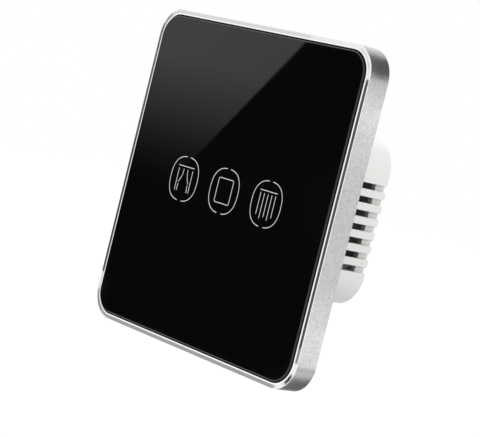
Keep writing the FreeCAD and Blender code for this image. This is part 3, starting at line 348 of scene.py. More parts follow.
def circuit_board(name, colour):
    """Solder mask over a copper pattern: lighter lines where copper lies under it."""
    made, tree, into = blank(name, Coat_Weight=0.35)
    place = add(tree, "ShaderNodeTexCoord").outputs["Object"]
    turned = add(tree, "ShaderNodeMapping", {"Vector": place, "Rotation": (math.pi / 2, 0, 0),
                                             "Scale": BOARD_PATTERN}).outputs[0]
    tracks = add(tree, "ShaderNodeTexBrick", {"Vector": turned, "Scale": 1.0, "Mortar Size": 0.1,
                                              "Color1": (0, 0, 0, 1), "Color2": (0.4, 0.4, 0.4, 1),
                                              "Mortar": (1, 1, 1, 1)}).outputs["Color"]
    grain = placed(tree, GRAIN, Size=0.3 * MM, Patch=7 * MM)
    tone = mixed(tree, grain["Patch"], shaded(colour, 0.85), shaded(colour, 1.1))
    tree.links.new(mixed(tree, scaled(tree, tracks, 0.0, 0.6), tone, shaded(colour, 2.2)),
                   into["Base Color"])
    tree.links.new(scaled(tree, grain["Tone"], 0.28, 0.4), into["Roughness"])
    tree.links.new(bumped(tree, tracks, 0.02 * MM, 0.3), into["Normal"])
    return made


FINISH = {
    "glass": back_printed_glass(),
    "ground": ground_glass(),
    "icons": icon_print(),
    "blasted": metal("Blasted aluminium", (0.57, 0.573, 0.577), 0.40, size=0.22 * MM, depth=0.03 * MM,
                     wear=1.04, speck=0.28),
    "cut": rolled_metal("Turned aluminium face", (0.86, 0.865, 0.875), 0.025, pitch=0.05 * MM,
                        stretch=18.0, depth=0.0001 * MM),
    "lip": metal("Diamond-cut aluminium edge", (0.93, 0.935, 0.94), 0.2, size=0.1 * MM,
                 depth=0.002 * MM, wear=1.02, speck=0.03),
    # The white box's deep recesses, the inside of its vents, are painted nearly black as shade
    "white": moulded("White moulded plastic", (0.845, 0.857, 0.832), 0.42, wear=1.04, recess_shade=0.06,
                     reach=12 * MM, cloud=0.012),
    "black": moulded("Black moulded plastic", (0.018, 0.018, 0.019), 0.5, wear=1.8, recess_shade=0.8),
    "zinc": rolled_metal("Zinc-plated sheet steel", (0.63, 0.65, 0.69), 0.32, pitch=0.12 * MM, stretch=40.0),
    "screw": metal("Plated screw steel", (0.68, 0.69, 0.71), 0.24, size=0.2 * MM, depth=0.002 * MM,
                   wear=1.15),
    "spring": metal("Spring wire", (0.70, 0.71, 0.73), 0.2, size=0.1 * MM, depth=0.002 * MM),
    "board": circuit_board("Green circuit board", (0.012, 0.085, 0.035)),
    "lens": moulded("Light's yellow phosphor", (0.72, 0.55, 0.12), 0.3, wear=1.0),
    "tin": rolled_metal("Tinned shield", (0.72, 0.72, 0.70), 0.28, pitch=0.15 * MM, stretch=25.0),
    "gold": metal("Gold-plated contact", (0.80, 0.58, 0.22), 0.22, size=0.1 * MM, depth=0.002 * MM),
    "solder": metal("Solder", (0.62, 0.63, 0.64), 0.3, size=0.3 * MM, depth=0.02 * MM),
    "relay": moulded("Relay's black case", (0.02, 0.021, 0.023), 0.35, wear=1.6),
    "ferrite": moulded("Ferrite core", (0.035, 0.035, 0.038), 0.6, size=0.4 * MM, depth=0.02 * MM,
                       wear=1.6),
    "tape": moulded("Yellow winding tape", (0.62, 0.42, 0.04), 0.4, size=1.2 * MM, depth=0.02 * MM),
    "sleeve": moulded("Capacitor's sleeve", (0.02, 0.025, 0.06), 0.3, wear=1.5),
    "film": moulded("Yellow film case", (0.60, 0.42, 0.05), 0.35),
    "fuse": moulded("Brown fuse case", (0.12, 0.05, 0.025), 0.35, wear=1.3),
    "varistor": moulded("Blue resin coat", (0.03, 0.12, 0.36), 0.4, size=0.8 * MM, depth=0.03 * MM,
                        wear=1.2),
    "grey": moulded("Grey terminal plastic", (0.33, 0.34, 0.34), 0.45, wear=1.1, recess_shade=0.7),
    "brass": metal("Contact brass", (0.72, 0.52, 0.25), 0.28, size=0.2 * MM, depth=0.003 * MM),
    "film_bond": moulded("Clear bonding film", (0.14, 0.14, 0.14), 0.35),
}


# Geometry that several pieces share

SHARP_ANGLE = 30
FLAT_FACE_WEIGHT = 100
CAP_STEPS = 6


def new_piece(name, vertices, faces, body, finishes, bands=None, sharp=SHARP_ANGLE):
    """Mesh object on a body, with smooth faces that break at sharp edges."""
    mesh = bpy.data.meshes.new(name)
    mesh.from_pydata([tuple(vertex) for vertex in vertices], [], faces)
    for finish in finishes:
        mesh.materials.append(FINISH[finish])
    if bands:
        mesh.polygons.foreach_set("material_index", bands)
    return placed_mesh(name, mesh, body, sharp)


def baked(raw):
    """Mesh of an object with its modifiers applied. The object itself goes."""
    raw.update_tag()
    graph = bpy.context.evaluated_depsgraph_get()
    graph.update()
    mesh = bpy.data.meshes.new_from_object(raw.evaluated_get(graph))
    bpy.data.objects.remove(raw)
    return mesh


def placed_mesh(name, mesh, body, sharp=SHARP_ANGLE):
    """Object of a finished mesh, its faces turned outwards, on a body."""
    form = bmesh.new()
    form.from_mesh(mesh)
    bmesh.ops.recalc_face_normals(form, faces=form.faces)
    form.to_mesh(mesh)
    form.free()
    mesh.shade_smooth()
    mesh.set_sharp_from_angle(angle=math.radians(sharp))
    raw = linked(name + "_raw", mesh)
    flat = raw.modifiers.new("Flat faces stay flat", "WEIGHTED_NORMAL")
    flat.keep_sharp = True
    flat.weight = FLAT_FACE_WEIGHT
    piece = linked(name, baked(raw))
    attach(piece, body)
    return piece


def square_loop(half, corner, depth, stations=()):
    """Points round a square with round corners at one depth, with extra points along its bottom."""
    points = []
    for quarter in range(QUARTERS):
        middle = (quarter + 0.5) * math.pi / 2
        centre = Vector((math.copysign(half - corner, math.cos(middle)), depth,
                         math.copysign(half - corner, math.sin(middle))))
        for step in range(CORNER_STEPS + 1):
            angle = (quarter + step / CORNER_STEPS) * math.pi / 2
            points.append(centre + corner * Vector((math.cos(angle), 0, math.sin(angle))))
        if quarter == 2:
            points += [Vector((x, depth, -half)) for x in stations]
    return points


def lofted(loops, closed):
    """Vertices and faces of a skin over loops with as many points each."""
    count = len(loops[0])
    vertices = [point for loop in loops for point in loop]
    faces = []
    pairs = list(zip(range(len(loops)), range(1, len(loops))))
    if closed:
        pairs.append((len(loops) - 1, 0))
    for first, second in pairs:
        for index in range(count):
            after = (index + 1) % count
            faces.append((first * count + index, first * count + after,
                          second * count + after, second * count + index))
    if not closed:
        faces += [tuple(range(count)), tuple(range(len(vertices) - count, len(vertices)))]
    return vertices, faces


def square(centre_x, centre_z, width, height, corner=0.0, steps=3):
    """Outline of a rectangle with round corners in the X-Z plane."""
    if corner <= 0:
        return [Vector((centre_x + sx * width / 2, centre_z + sz * height / 2))
                for sx, sz in CORNER_SIGNS]
    points = []
    for quarter in range(QUARTERS):
        middle = (quarter + 0.5) * math.pi / 2
        x = centre_x + math.copysign(width / 2 - corner, math.cos(middle))
        z = centre_z + math.copysign(height / 2 - corner, math.sin(middle))
        for step in range(steps + 1):
            angle = (quarter + step / steps) * math.pi / 2
            points.append(Vector((x + corner * math.cos(angle), z + corner * math.sin(angle))))
    return points


def circle(x, z, radius, steps=28):
    """Outline of a circle in the X-Z plane."""
    return [Vector((x + radius * math.cos(2 * math.pi * step / steps),
                    z + radius * math.sin(2 * math.pi * step / steps))) for step in range(steps)]


def stroke(points, width):
    """Outline of a line of even width with round ends, in the X-Z plane."""
    half = width / 2
    left, right = [], []
    for index, point in enumerate(points):
        before, after = points[max(index - 1, 0)], points[min(index + 1, len(points) - 1)]
        way = (after - before).normalized()
        across = Vector((-way.y, way.x)) * half
        left.append(point + across)
        right.append(point - across)

    def cap(centre, start):
        return [centre + Matrix.Rotation(-math.pi * step / CAP_STEPS, 2) @ start
                for step in range(1, CAP_STEPS)]

    return (left + cap(points[-1], left[-1] - points[-1])
            + right[::-1] + cap(points[0], right[0] - points[0]))


def plates(outlines, front, back):
    """Vertices and faces of flat plates, one for each outline in the X-Z plane."""
    vertices, faces = [], []
    for outline in outlines:
        start, count = len(vertices), len(outline)
        vertices += [Vector((point.x, front, point.y)) for point in outline]
        vertices += [Vector((point.x, back, point.y)) for point in outline]
        faces.append(tuple(start + index for index in range(count)))
        faces.append(tuple(start + count + index for index in reversed(range(count))))
        for index in range(count):
            after = (index + 1) % count
            faces.append((start + index, start + after, start + count + after, start + count + index))
    return vertices, faces


# Front panel

GLASS_FACE, GLASS_EDGE = range(2)
# Bands of the frame's finish; the last is black, painted shade in the gap round the glass
BLASTED, LIP, CUT, GAP_SHADE = range(4)


def rounded_edge(width, steps):
    """Insets and sinks of the lines along an edge that is rounded off."""
    return [(width * (1 - math.sin(math.pi / 2 * step / steps)),
             width * (1 - math.cos(math.pi / 2 * step / steps))) for step in range(steps + 1)]


def glass():
    """Touch glass with ground edges, its face a hair behind the icons' print."""
    half = GLASS_HIGH.x
    front = GLASS_LOW.y + PRINT_DEPTH
    edge = rounded_edge(GLASS_BEVEL, GLASS_BEVEL_STEPS)
    lines = [(inset, front + sink) for inset, sink in edge]
    lines += [(inset, GLASS_HIGH.y - sink) for inset, sink in reversed(edge)]
    loops = [square_loop(half - inset, GLASS_CORNER - inset, depth) for inset, depth in lines]
    vertices, faces = lofted(loops, closed=False)
    bands = [GLASS_EDGE] * (len(faces) - 2) + [GLASS_FACE, GLASS_FACE]
    piece = new_piece("glass", vertices, faces, "front_panel",
                      ("glass", "ground"), bands, sharp=40)
    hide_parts("glass_panel")


def frame_ring():
    """Frame: blasted sides, cut bevels and front, a pocket with a ledge, its wall painted black as shade in
    the gap, and a prising notch.
    """
    half, back = FRAME_HIGH.x, FRAME_HIGH.y
    front = FRAME_FACE
    crest = FRAME_FACE - FRAME_LIP_HEIGHT
    pocket_floor = TRAY_LOW.y
    inner = FRAME_BORDER + LEDGE_WIDTH
    # Inset from the outside, depth, and the finish of the band up to the next line
    outer = rounded_edge(FRAME_OUTER_BEVEL, EDGE_STEPS)
    profile = [(FRAME_BACK_BREAK, back, BLASTED), (0, back - FRAME_BACK_BREAK, BLASTED)]
    profile += [(inset, front + sink, LIP) for inset, sink in reversed(outer)]
    profile[-1] = (FRAME_OUTER_BEVEL, front, CUT)
    # The pocket's wall, the gap round the glass, is given black plastic as painted shade
    profile += [(FRAME_BORDER - FRAME_LIP_WIDTH, front, LIP), (FRAME_BORDER - LIP_EDGE, crest, LIP),
                (FRAME_BORDER, crest + LIP_EDGE, GAP_SHADE), (FRAME_BORDER, pocket_floor, GAP_SHADE),
                (inner, pocket_floor, BLASTED), (inner, LEDGE_BACK, BLASTED),
                (FRAME_BORDER, LEDGE_BACK, BLASTED), (FRAME_BORDER, back, BLASTED)]
    stations = (-NOTCH_HALF_WIDTH - NOTCH_WALL, -NOTCH_HALF_WIDTH,
                NOTCH_HALF_WIDTH, NOTCH_HALF_WIDTH + NOTCH_WALL)
    loops = []
    for inset, depth, _ in profile:
        loop = square_loop(half - inset, FRAME_CORNER - inset, depth, stations)
        if depth > back - NOTCH_DEPTH:
            for point in loop:
                if point.z < FRAME_BORDER - half and abs(point.x) < NOTCH_HALF_WIDTH + NOTCH_WALL / 2:
                    point.y -= NOTCH_DEPTH
        loops.append(loop)
    vertices, faces = lofted(loops, closed=True)
    bands = [band for _, _, band in profile for _ in loops[0]]
    piece = new_piece("frame", vertices, faces, "front_panel",
                      ("blasted", "lip", "cut", "black"), bands, sharp=8)
    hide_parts("metal_frame")


# Icons printed on the glass

ICON_SHIFT = Vector((0.35 * MM, 0.2 * MM))
ICON_LINE = 0.155 * MM
RING_WIDTH = 11.5 * MM
RING_HEIGHT = 11.65 * MM
RING_POWER = 2.5
RING_TOP_GAP = 1.5 * MM
RING_BOTTOM_GAP = 1.9 * MM
RING_STEPS = 28
CURTAIN_RAIL = 6.6 * MM
CURTAIN_TOP = 3.26 * MM
CURTAIN_START = 2.5 * MM
CURTAIN_HEM = -3.35 * MM
CURTAIN_OUTER = 2.98 * MM
FOLD_START = 0.87 * MM
FOLD_END = 2.15 * MM
FOLD_KNOT = -1.1 * MM
FOLD_POWER = 2.2
FOLD_STEPS = 8
TAIL_START = (2.0 * MM, -1.55 * MM)
CLOSED_PITCH = 1.49 * MM
CLOSED_HEMS = (-2.95 * MM, -3.8 * MM, -3.25 * MM, -3.8 * MM, -2.95 * MM)
STOP_WIDTH = 6.05 * MM
STOP_HEIGHT = 6.4 * MM
STOP_CORNER = 0.5 * MM


def icon_ring(centre):
    """Two halves of a soft square round an icon, open at the top and the bottom."""
    def point(angle):
        along, up = math.cos(angle), math.sin(angle)
        reach = (abs(2 * along / RING_WIDTH) ** RING_POWER
                 + abs(2 * up / RING_HEIGHT) ** RING_POWER) ** (-1 / RING_POWER)
        return centre + reach * Vector((along, up))

    top, bottom = RING_TOP_GAP / RING_HEIGHT, RING_BOTTOM_GAP / RING_HEIGHT
    halves = []
    for start, end in ((bottom - math.pi / 2, math.pi / 2 - top),
                       (math.pi / 2 + top, 1.5 * math.pi - bottom)):
        halves.append(stroke([point(start + (end - start) * step / RING_STEPS)
                              for step in range(RING_STEPS + 1)], ICON_LINE))
    return halves


def line(centre, *ends):
    """A line of an icon through points counted from its centre."""
    return stroke([centre + Vector(end) for end in ends], ICON_LINE)


def rail(centre):
    """The rail that an icon's curtains hang from."""
    return line(centre, (-CURTAIN_RAIL / 2, CURTAIN_TOP), (CURTAIN_RAIL / 2, CURTAIN_TOP))


def icon_open(centre):
    """A rail with two curtains drawn to the sides."""
    lines = [rail(centre)]
    for side in (-1, 1):
        outer = side * CURTAIN_OUTER
        lines.append(line(centre, (outer, CURTAIN_START), (outer, CURTAIN_HEM)))
        curve = []
        for step in range(FOLD_STEPS + 1):
            share = step / FOLD_STEPS
            curve.append((side * (FOLD_START + (FOLD_END - FOLD_START) * share ** FOLD_POWER),
                          CURTAIN_START + (FOLD_KNOT - CURTAIN_START) * share))
        lines.append(line(centre, *curve))
        lines.append(line(centre, (side * TAIL_START[0], TAIL_START[1]), (side * FOLD_END, CURTAIN_HEM)))
    return lines


def icon_stop(centre):
    """A square with slightly round corners."""
    outline = square(centre.x, centre.y, STOP_WIDTH, STOP_HEIGHT, STOP_CORNER)
    return [stroke(outline + outline[:2], ICON_LINE)]


def icon_close(centre):
    """A rail with a curtain drawn across, its folds of uneven length."""
    lines = [rail(centre)]
    for x, hem in zip(row(len(CLOSED_HEMS), CLOSED_PITCH, 0), CLOSED_HEMS):
        lines.append(line(centre, (x, CURTAIN_START), (x, hem)))
    return lines


def icons():
    """The three function icons, printed at the face of the glass."""
    drawings = (("icon_open", icon_open), ("icon_stop", icon_stop), ("icon_close", icon_close))
    for x, (name, drawing) in zip(key_places(), drawings):
        centre = Vector((x, KEY_Z)) + ICON_SHIFT
        vertices, faces = plates(icon_ring(centre) + drawing(centre), GLASS_LOW.y,
                                 GLASS_LOW.y + 2 * PRINT_DEPTH)
        new_piece(name, vertices, faces, "front_panel", ("icons",))


# Moulded, pressed and cut pieces whose solids have the right form

SOFTENED = {
    # node: width of its rounded edges in mm, finish
    "panel_tray": (0.18, "black"), "mounting_plate": (0.12, "zinc"), "rear_housing": (0.22, "white"),
    "light_baffle": (0.15, "white"), "touch_board": (0.05, "board"), "power_board": (0.05, "board"),
    "housing_screws": (0.12, "screw"), "board_screws": (0.1, "screw"), "board_spacers": (0.1, "white"),
    "touch_controller": (0.06, "black"), "radio_module": (0.04, "board"), "radio_shield": (0.08, "tin"),
    "pin_header": (0.1, "black"), "header_pins": (0.05, "gold"), "pin_socket": (0.1, "black"),
    "relay_open": (0.2, "relay"), "relay_close": (0.2, "relay"), "transformer_core": (0.15, "ferrite"),
    "transformer_coil": (0.15, "tape"), "transformer_base": (0.15, "black"),
    "input_capacitor": (0.25, "sleeve"), "output_capacitor": (0.2, "sleeve"),
    "film_capacitor": (0.2, "film"), "board_fuse": (0.15, "fuse"), "varistor": (0.6, "varistor"),
    "bridge_rectifier": (0.12, "black"), "terminal_block": (0.12, "grey"),
    "terminal_contacts": (0.06, "brass"), "glass_adhesive": (0.03, "film_bond"),
}
CLAMPS = {"terminal_cage": (0.1, "screw"), "terminal_screw": (0.12, "screw")}
POLE_COUNT = 4
ROUNDED_ANGLE = 35
ROUNDED_STEPS = 2
SAME_POINT = 0.001 * MM
SAME_PLANE_ANGLE = 0.5


def body_and_slot():
    """Which body and which material slot each node of the model has."""
    record = frame["record"]
    bodies = {node: body for body, nodes in record["behaviour"]["bodies"].items() for node in nodes}
    slots = {part["node"]: part["material_slot"] for part in record["subparts"]}
    return bodies, slots


BODY, SLOT = body_and_slot()


def softened(node, width, finish):
    """The node's own form with its sharp edges rounded as moulding, pressing or grinding leaves them."""
    form = bmesh.new()
    form.from_mesh(frame["nodes"][node].data)
    bmesh.ops.remove_doubles(form, verts=form.verts, dist=SAME_POINT)
    bmesh.ops.dissolve_limit(form, angle_limit=math.radians(SAME_PLANE_ANGLE), verts=form.verts,
                             edges=form.edges)
    mesh = bpy.data.meshes.new(node)
    form.to_mesh(mesh)
    form.free()
    raw = linked(node + "_raw", mesh)
    bevel = raw.modifiers.new("Rounded edges", "BEVEL")
    bevel.width = width * MM
    bevel.segments = ROUNDED_STEPS
    bevel.limit_method = "ANGLE"
    bevel.angle_limit = math.radians(ROUNDED_ANGLE)
    rounded = baked(raw)
    rounded.materials.clear()
    rounded.materials.append(FINISH[finish])
    piece = placed_mesh(node + "_finished", rounded, BODY[node], sharp=40)
    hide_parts(node)


def softened_pieces():
    """Every node that keeps its own form."""
    for node, (width, finish) in SOFTENED.items():
        softened(node, width, finish)
    for name, (width, finish) in CLAMPS.items():
        for number in range(1, POLE_COUNT + 1):
            softened(f"{name}_{number}", width, finish)


# Small parts seen when the panel is off

SPRING_TURNS = 3.5
SPRING_STEPS = 20
SPRING_WIRE = 0.24 * MM
SPRING_RADIUS = 3.2 * MM
SPRING_FLAT_TURNS = 0.5
SPRING_ROUNDNESS = 3
LIGHT_CORNER = 0.25 * MM
WINDOW_SHARE = 0.36
WINDOW_RISE = 0.04 * MM
WINDOW_DEPTH = 0.1 * MM
JOINT_RADIUS = 0.75 * MM
JOINT_HEIGHT = 0.55 * MM
JOINT_TOP = 0.36 * MM
JOINT_POWER = 1.6
JOINT_RINGS = 4
JOINT_STEPS = 16
# Where the middle of each chip part is, in mm
CHIP_PARTS = ((-13.0, 8.6), (-10.2, 8.6), (-7.4, 8.6), (-2.6, 9.6), (0.4, 9.6), (3.4, 9.6), (8.4, 8.6),
              (11.2, 8.6), (14.0, 8.6), (-14.2, -9.6), (-11.4, -9.6), (11.4, -9.6), (14.2, -9.6))
CHIP_LENGTH = 1.6 * MM
CHIP_WIDTH = 0.8 * MM
CHIP_HEIGHT = 0.45 * MM
CHIP_END = 0.3 * MM
CHIP_END_CORNER = 0.06 * MM
CHIP_END_RISE = 0.02 * MM
TRACK_RISE = 0.03 * MM
TRACK_WIDTH = 0.25 * MM
TRACK_BEND = 0.4 * MM
TRACK_RUN = 4.0 * MM
TRACK_FIRST = 1.0 * MM
TRACK_STEP = 0.7 * MM
TRACK_LANES = 3
PIN_TRACK_WIDTH = 0.3 * MM
PIN_TRACK_LENGTH = 2.4 * MM


def wound_wire(name, x):
    """Touch spring of round wire, its end turns wound flat."""
    count = int(SPRING_TURNS * SPRING_STEPS)
    foot, top = SPRINGS_HIGH.y - SPRING_WIRE, SPRINGS_LOW.y + SPRING_WIRE
    points = []
    for step in range(count + 1):
        turn = step / SPRING_STEPS
        share = (turn - SPRING_FLAT_TURNS) / (SPRING_TURNS - 2 * SPRING_FLAT_TURNS)
        share = min(max(share, 0), 1)
        angle = 2 * math.pi * turn
        points.append((x + SPRING_RADIUS * math.cos(angle), foot + (top - foot) * share,
                       KEY_Z + SPRING_RADIUS * math.sin(angle), 1))
    curve = bpy.data.curves.new(name, "CURVE")
    curve.dimensions = "3D"
    spline = curve.splines.new("POLY")
    spline.points.add(len(points) - 1)
    for point, place in zip(spline.points, points):
        point.co = place
    curve.bevel_depth = SPRING_WIRE
    curve.bevel_resolution = SPRING_ROUNDNESS
    curve.use_fill_caps = True
    mesh = baked(linked(name + "_line", curve))
    mesh.materials.clear()
    mesh.materials.append(FINISH["spring"])
    return placed_mesh(name, mesh, "base", sharp=50)


def touch_springs():
    """One spring behind each key."""
    pieces = [wound_wire(f"touch_spring_{number}", x) for number, x in enumerate(key_places(), 1)]
    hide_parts("touch_springs")


def status_lights():
    """White light bodies, each with a round yellow window."""
    width = LIGHTS_HIGH.z - LIGHTS_LOW.z
    bodies, windows = [], []
    for x in key_places():
        bodies.append(square(x, KEY_Z, width, width, LIGHT_CORNER))
        windows.append(circle(x, KEY_Z, WINDOW_SHARE * width))
    vertices, faces = plates(bodies, LIGHTS_LOW.y, LIGHTS_HIGH.y)
    piece = new_piece("status_lights", vertices, faces, "base", ("white",))
    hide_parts("status_leds")
    vertices, faces = plates(windows, LIGHTS_LOW.y - WINDOW_RISE, LIGHTS_LOW.y + WINDOW_DEPTH)
    new_piece("light_windows", vertices, faces, "base", ("lens",))


def solder_joints():
    """A small dome round each connector pin on the front of the touch board."""
    vertices, faces = [], []
    for x in row(PIN_COUNT, PIN_PITCH, PINS_X):
        loops = []
        for ring in range(JOINT_RINGS + 1):
            share = ring / JOINT_RINGS
            reach = JOINT_RADIUS * (1 - share) ** JOINT_POWER + JOINT_TOP * share
            depth = BOARD_LOW.y - JOINT_HEIGHT * share
            loops.append([Vector((point.x, depth, point.y))
                          for point in circle(x, PINS_Z, reach, JOINT_STEPS)])
        some, more = lofted(loops, closed=False)
        faces += [tuple(len(vertices) + index for index in face) for face in more]
        vertices += some
    new_piece("solder_joints", vertices, faces, "base", ("solder",))


def chip_parts():
    """Small surface-mounted resistors and capacitors on the front of the touch board."""
    front = BOARD_LOW.y - CHIP_HEIGHT
    bodies, ends = [], []
    for x, z in CHIP_PARTS:
        bodies.append(square(x * MM, z * MM, CHIP_LENGTH - 2 * CHIP_END, CHIP_WIDTH))
        for side in (-1, 1):
            ends.append(square(x * MM + side * (CHIP_LENGTH - CHIP_END) / 2, z * MM, CHIP_END,
                               CHIP_WIDTH, CHIP_END_CORNER))
    vertices, faces = plates(bodies, front, BOARD_LOW.y)
    new_piece("chip_parts", vertices, faces, "base", ("black",))
    vertices, faces = plates(ends, front - CHIP_END_RISE, BOARD_LOW.y)
    new_piece("chip_part_ends", vertices, faces, "base", ("solder",))


def copper_tracks():
    """Raised copper lines under the solder mask, from the keys to the connector."""
    lines = []
    for number, (x, z) in enumerate(CHIP_PARTS):
        start = Vector((x * MM, z * MM))
        step = (number % TRACK_LANES + 1) * TRACK_STEP
        turn = z * MM + math.copysign(step + TRACK_FIRST, z)
        end = x * MM + (TRACK_RUN if x < 0 else -TRACK_RUN)
        lines.append(stroke([start, Vector((x * MM, turn - math.copysign(TRACK_BEND, z))),
                             Vector((x * MM + math.copysign(TRACK_BEND, end - x * MM), turn)),
                             Vector((end, turn))], TRACK_WIDTH))
    for x in row(PIN_COUNT, PIN_PITCH, 0):
        lines.append(stroke([Vector((x, PINS_Z)), Vector((x, PINS_Z + PIN_TRACK_LENGTH))],
                            PIN_TRACK_WIDTH))
    vertices, faces = plates(lines, BOARD_LOW.y - TRACK_RISE, BOARD_LOW.y + TRACK_RISE)
    new_piece("copper_tracks", vertices, faces, "base", ("board",))


# Studio

FLOOR_LEVEL = -0.36
FLOOR_HALF = 6.0
FLOOR_COLOUR = (0.92, 0.92, 0.92)
FLOOR_GLOW = 1.15
FLOOR_GLOW_SHARE = 0.8
# Heights on the softbox's face, as shares of it, and how bright it is there
SOFTBOX_STOPS = ((0.05, 0.0), (0.145, 0.015), (0.242, 0.058), (0.339, 0.137), (0.435, 0.258),
                 (0.629, 0.545), (0.76, 0.75), (1.0, 0.78))
SOFTBOX_DISTANCE = 0.60
SOFTBOX_OUTLINE = ((0.035, -0.02), (0.736, -0.02), (0.170, 0.60), (0, 0.60), (0, 0.035))
FLAG_DISTANCE = 0.62
BLACK_OUTLINE = ((-0.004, -0.004), (0.965, -0.004), (1.004, 0.035), (1.004, 0.925), (0.997, 0.955),
                 (0.981, 0.981), (0.955, 0.997), (0.925, 1.004), (-0.004, 1.004))
SIDE_CARD_DISTANCE = 45 * MM
SIDE_CARD_HALF = 25 * MM
RING_CARD_STEPS = 6
RING_CARD_RADII = (6.35 * MM, 8.4 * MM)
CORNER_CARD_LEAN = 0.5
LOWER_FLAG = ((-0.30, 0.10, -0.34), (0.25, 0.10, -0.34), (0.25, 0.55, -0.34), (-0.30, 0.55, -0.34))
# How bright the surroundings are, from lower to overhead, and between which heights that changes
WORLD_GLOW = (0.70, 0.76)
WORLD_HEIGHTS = (0.45, 0.8)
# Where each lamp is, where it points, its width in metres and its power in watts
LIGHTS = {
    "side_light": ((0.85, 0.12, 0.28), (0, 0.01, 0), 0.5, 0.8),
    "top_light": ((0.075, 0.02, 0.075), (0.024, 0.012, 0.019), 0.04, 0.016),
    "back_light": ((-0.35, 0.80, 0.55), (0, 0.01, 0), 0.6, 2.5),
}


def sight(tree):
    """1 for rays that see the background: the camera's, and those in gloss and glass."""
    path = add(tree, "ShaderNodeLightPath").outputs
    gloss = add(tree, "ShaderNodeMath", {0: path["Is Glossy Ray"], 1: path["Is Transmission Ray"]},
                operation="MAXIMUM").outputs[0]
    return add(tree, "ShaderNodeMath", {0: path["Is Camera Ray"], 1: gloss}, operation="MAXIMUM").outputs[0]


def emptied(made, output):
    """Node tree of a new material or world with nothing but its output, and the socket to link to."""
    made.use_nodes = True
    made.node_tree.nodes.clear()
    return made.node_tree, add(made.node_tree, output).inputs["Surface"]


def stage_material(name, colour, strength, seen):
    """Diffuse colour that shows the camera and mirrors a plain bright tone."""
    made = bpy.data.materials.new(name)
    tree, surface = emptied(made, "ShaderNodeOutputMaterial")
    matte = add(tree, "ShaderNodeBsdfDiffuse", {"Color": (*colour, 1)})
    glow = add(tree, "ShaderNodeEmission", {"Color": (1, 1, 1, 1), "Strength": strength})
    share = add(tree, "ShaderNodeMath", {0: sight(tree), 1: seen}, operation="MULTIPLY")
    mix = add(tree, "ShaderNodeMixShader", {"Fac": share.outputs[0]})
    tree.links.new(matte.outputs[0], mix.inputs[1])
    tree.links.new(glow.outputs[0], mix.inputs[2])
    tree.links.new(mix.outputs[0], surface)
    return made


def flat_stage(name, corners, material):
    """One flat face round the corners, which belongs to the studio."""
    mesh = bpy.data.meshes.new(name)
    mesh.from_pydata([tuple(corner) for corner in corners], [], [tuple(range(len(corners)))])
    mesh.materials.append(material)
    made = linked(name, mesh)
    return made


def floor():
    """Pale ground well below the switch, as white as the background behind it."""
    corners = [Vector((sx * FLOOR_HALF, sy * FLOOR_HALF, FLOOR_LEVEL)) for sx, sy in CORNER_SIGNS]
    flat_stage("floor", corners, stage_material("Pale floor", FLOOR_COLOUR, FLOOR_GLOW, FLOOR_GLOW_SHARE))


def only_mirrored(card):
    """The card shows in gloss and nowhere else."""
    card.visible_camera = False
    card.visible_diffuse = False
    card.visible_shadow = False
    card.visible_transmission = False
    card.visible_volume_scatter = False


def seen_in_glass(across, down, distance):
    """Where the photograph's camera looks, by way of a point of the glass, at a distance before it."""
    point = Vector((GLASS_LOW.x + across * GLASS_WIDTH, GLASS_LOW.y, GLASS_HIGH.z - down * GLASS_WIDTH))
    mirrored = CAMERA_PLACE.copy()
    mirrored.y = 2 * GLASS_LOW.y - CAMERA_PLACE.y
    way = point - mirrored
    return point + way * (distance / -way.y)


def seen_in_corner(turn, lean, distance):
    """Where the camera looks by way of the frame's rounded side, at an angle round its top right corner."""
    outwards = Vector((math.cos(math.radians(turn)), 0, math.sin(math.radians(turn))))
    point = Vector((FRAME_STRAIGHT, FRAME_MIDDLE, FRAME_STRAIGHT)) + FRAME_CORNER * outwards
    way = (point - CAMERA_PLACE).normalized().reflect(outwards)
    way.y += lean
    return point + way * distance


def glow_card_material():
    """Softbox face, bright at its top and fading to nothing at its foot."""
    made = bpy.data.materials.new("Softbox glow")
    tree, surface = emptied(made, "ShaderNodeOutputMaterial")
    place = add(tree, "ShaderNodeTexCoord").outputs["Generated"]
    height = add(tree, "ShaderNodeSeparateXYZ", {0: place}).outputs["Z"]
    ramp = add(tree, "ShaderNodeValToRGB", {"Fac": height})
    points = ramp.color_ramp.elements
    while len(points) < len(SOFTBOX_STOPS):
        points.new(0.5)
    for point, (position, value) in zip(points, SOFTBOX_STOPS):
        point.position = position
        point.color = (value, value, value, 1)
    glow = add(tree, "ShaderNodeEmission", {"Color": ramp.outputs["Color"], "Strength": 1.0})
    tree.links.new(glow.outputs[0], surface)
    return made


def flag_material(name, value):
    """One even grey, from black at 0 to brighter than white above 1."""
    made = bpy.data.materials.new(name)
    tree, surface = emptied(made, "ShaderNodeOutputMaterial")
    glow = add(tree, "ShaderNodeEmission", {"Color": (value, value, value, 1), "Strength": 1.0})
    tree.links.new(glow.outputs[0], surface)
    return made


def strip(left, top, right, bottom):
    """Corners of an upright rectangle."""
    return (left, top), (right, top), (right, bottom), (left, bottom)


def card_in_glass(name, outline, distance, material):
    """Card that fills part of what the glass and its frame mirror. Its corners are shares of the face."""
    only_mirrored(flat_stage(name, [seen_in_glass(*corner, distance) for corner in outline], material))


def card_in_ring(name, corner, turns, material):
    """Card that fills what a stretch of the frame's flat ring mirrors, round one of its corners."""
    across, up = (side * FRAME_STRAIGHT for side in corner)
    steps = [turns[0] + (turns[1] - turns[0]) * step / RING_CARD_STEPS
             for step in range(RING_CARD_STEPS + 1)]
    edges = [[(0.5 + (across + radius * math.cos(math.radians(turn))) / GLASS_WIDTH,
               0.5 - (up + radius * math.sin(math.radians(turn))) / GLASS_WIDTH)
              for turn in steps] for radius in RING_CARD_RADII]
    card_in_glass(name, edges[0] + edges[1][::-1], FLAG_DISTANCE, material)


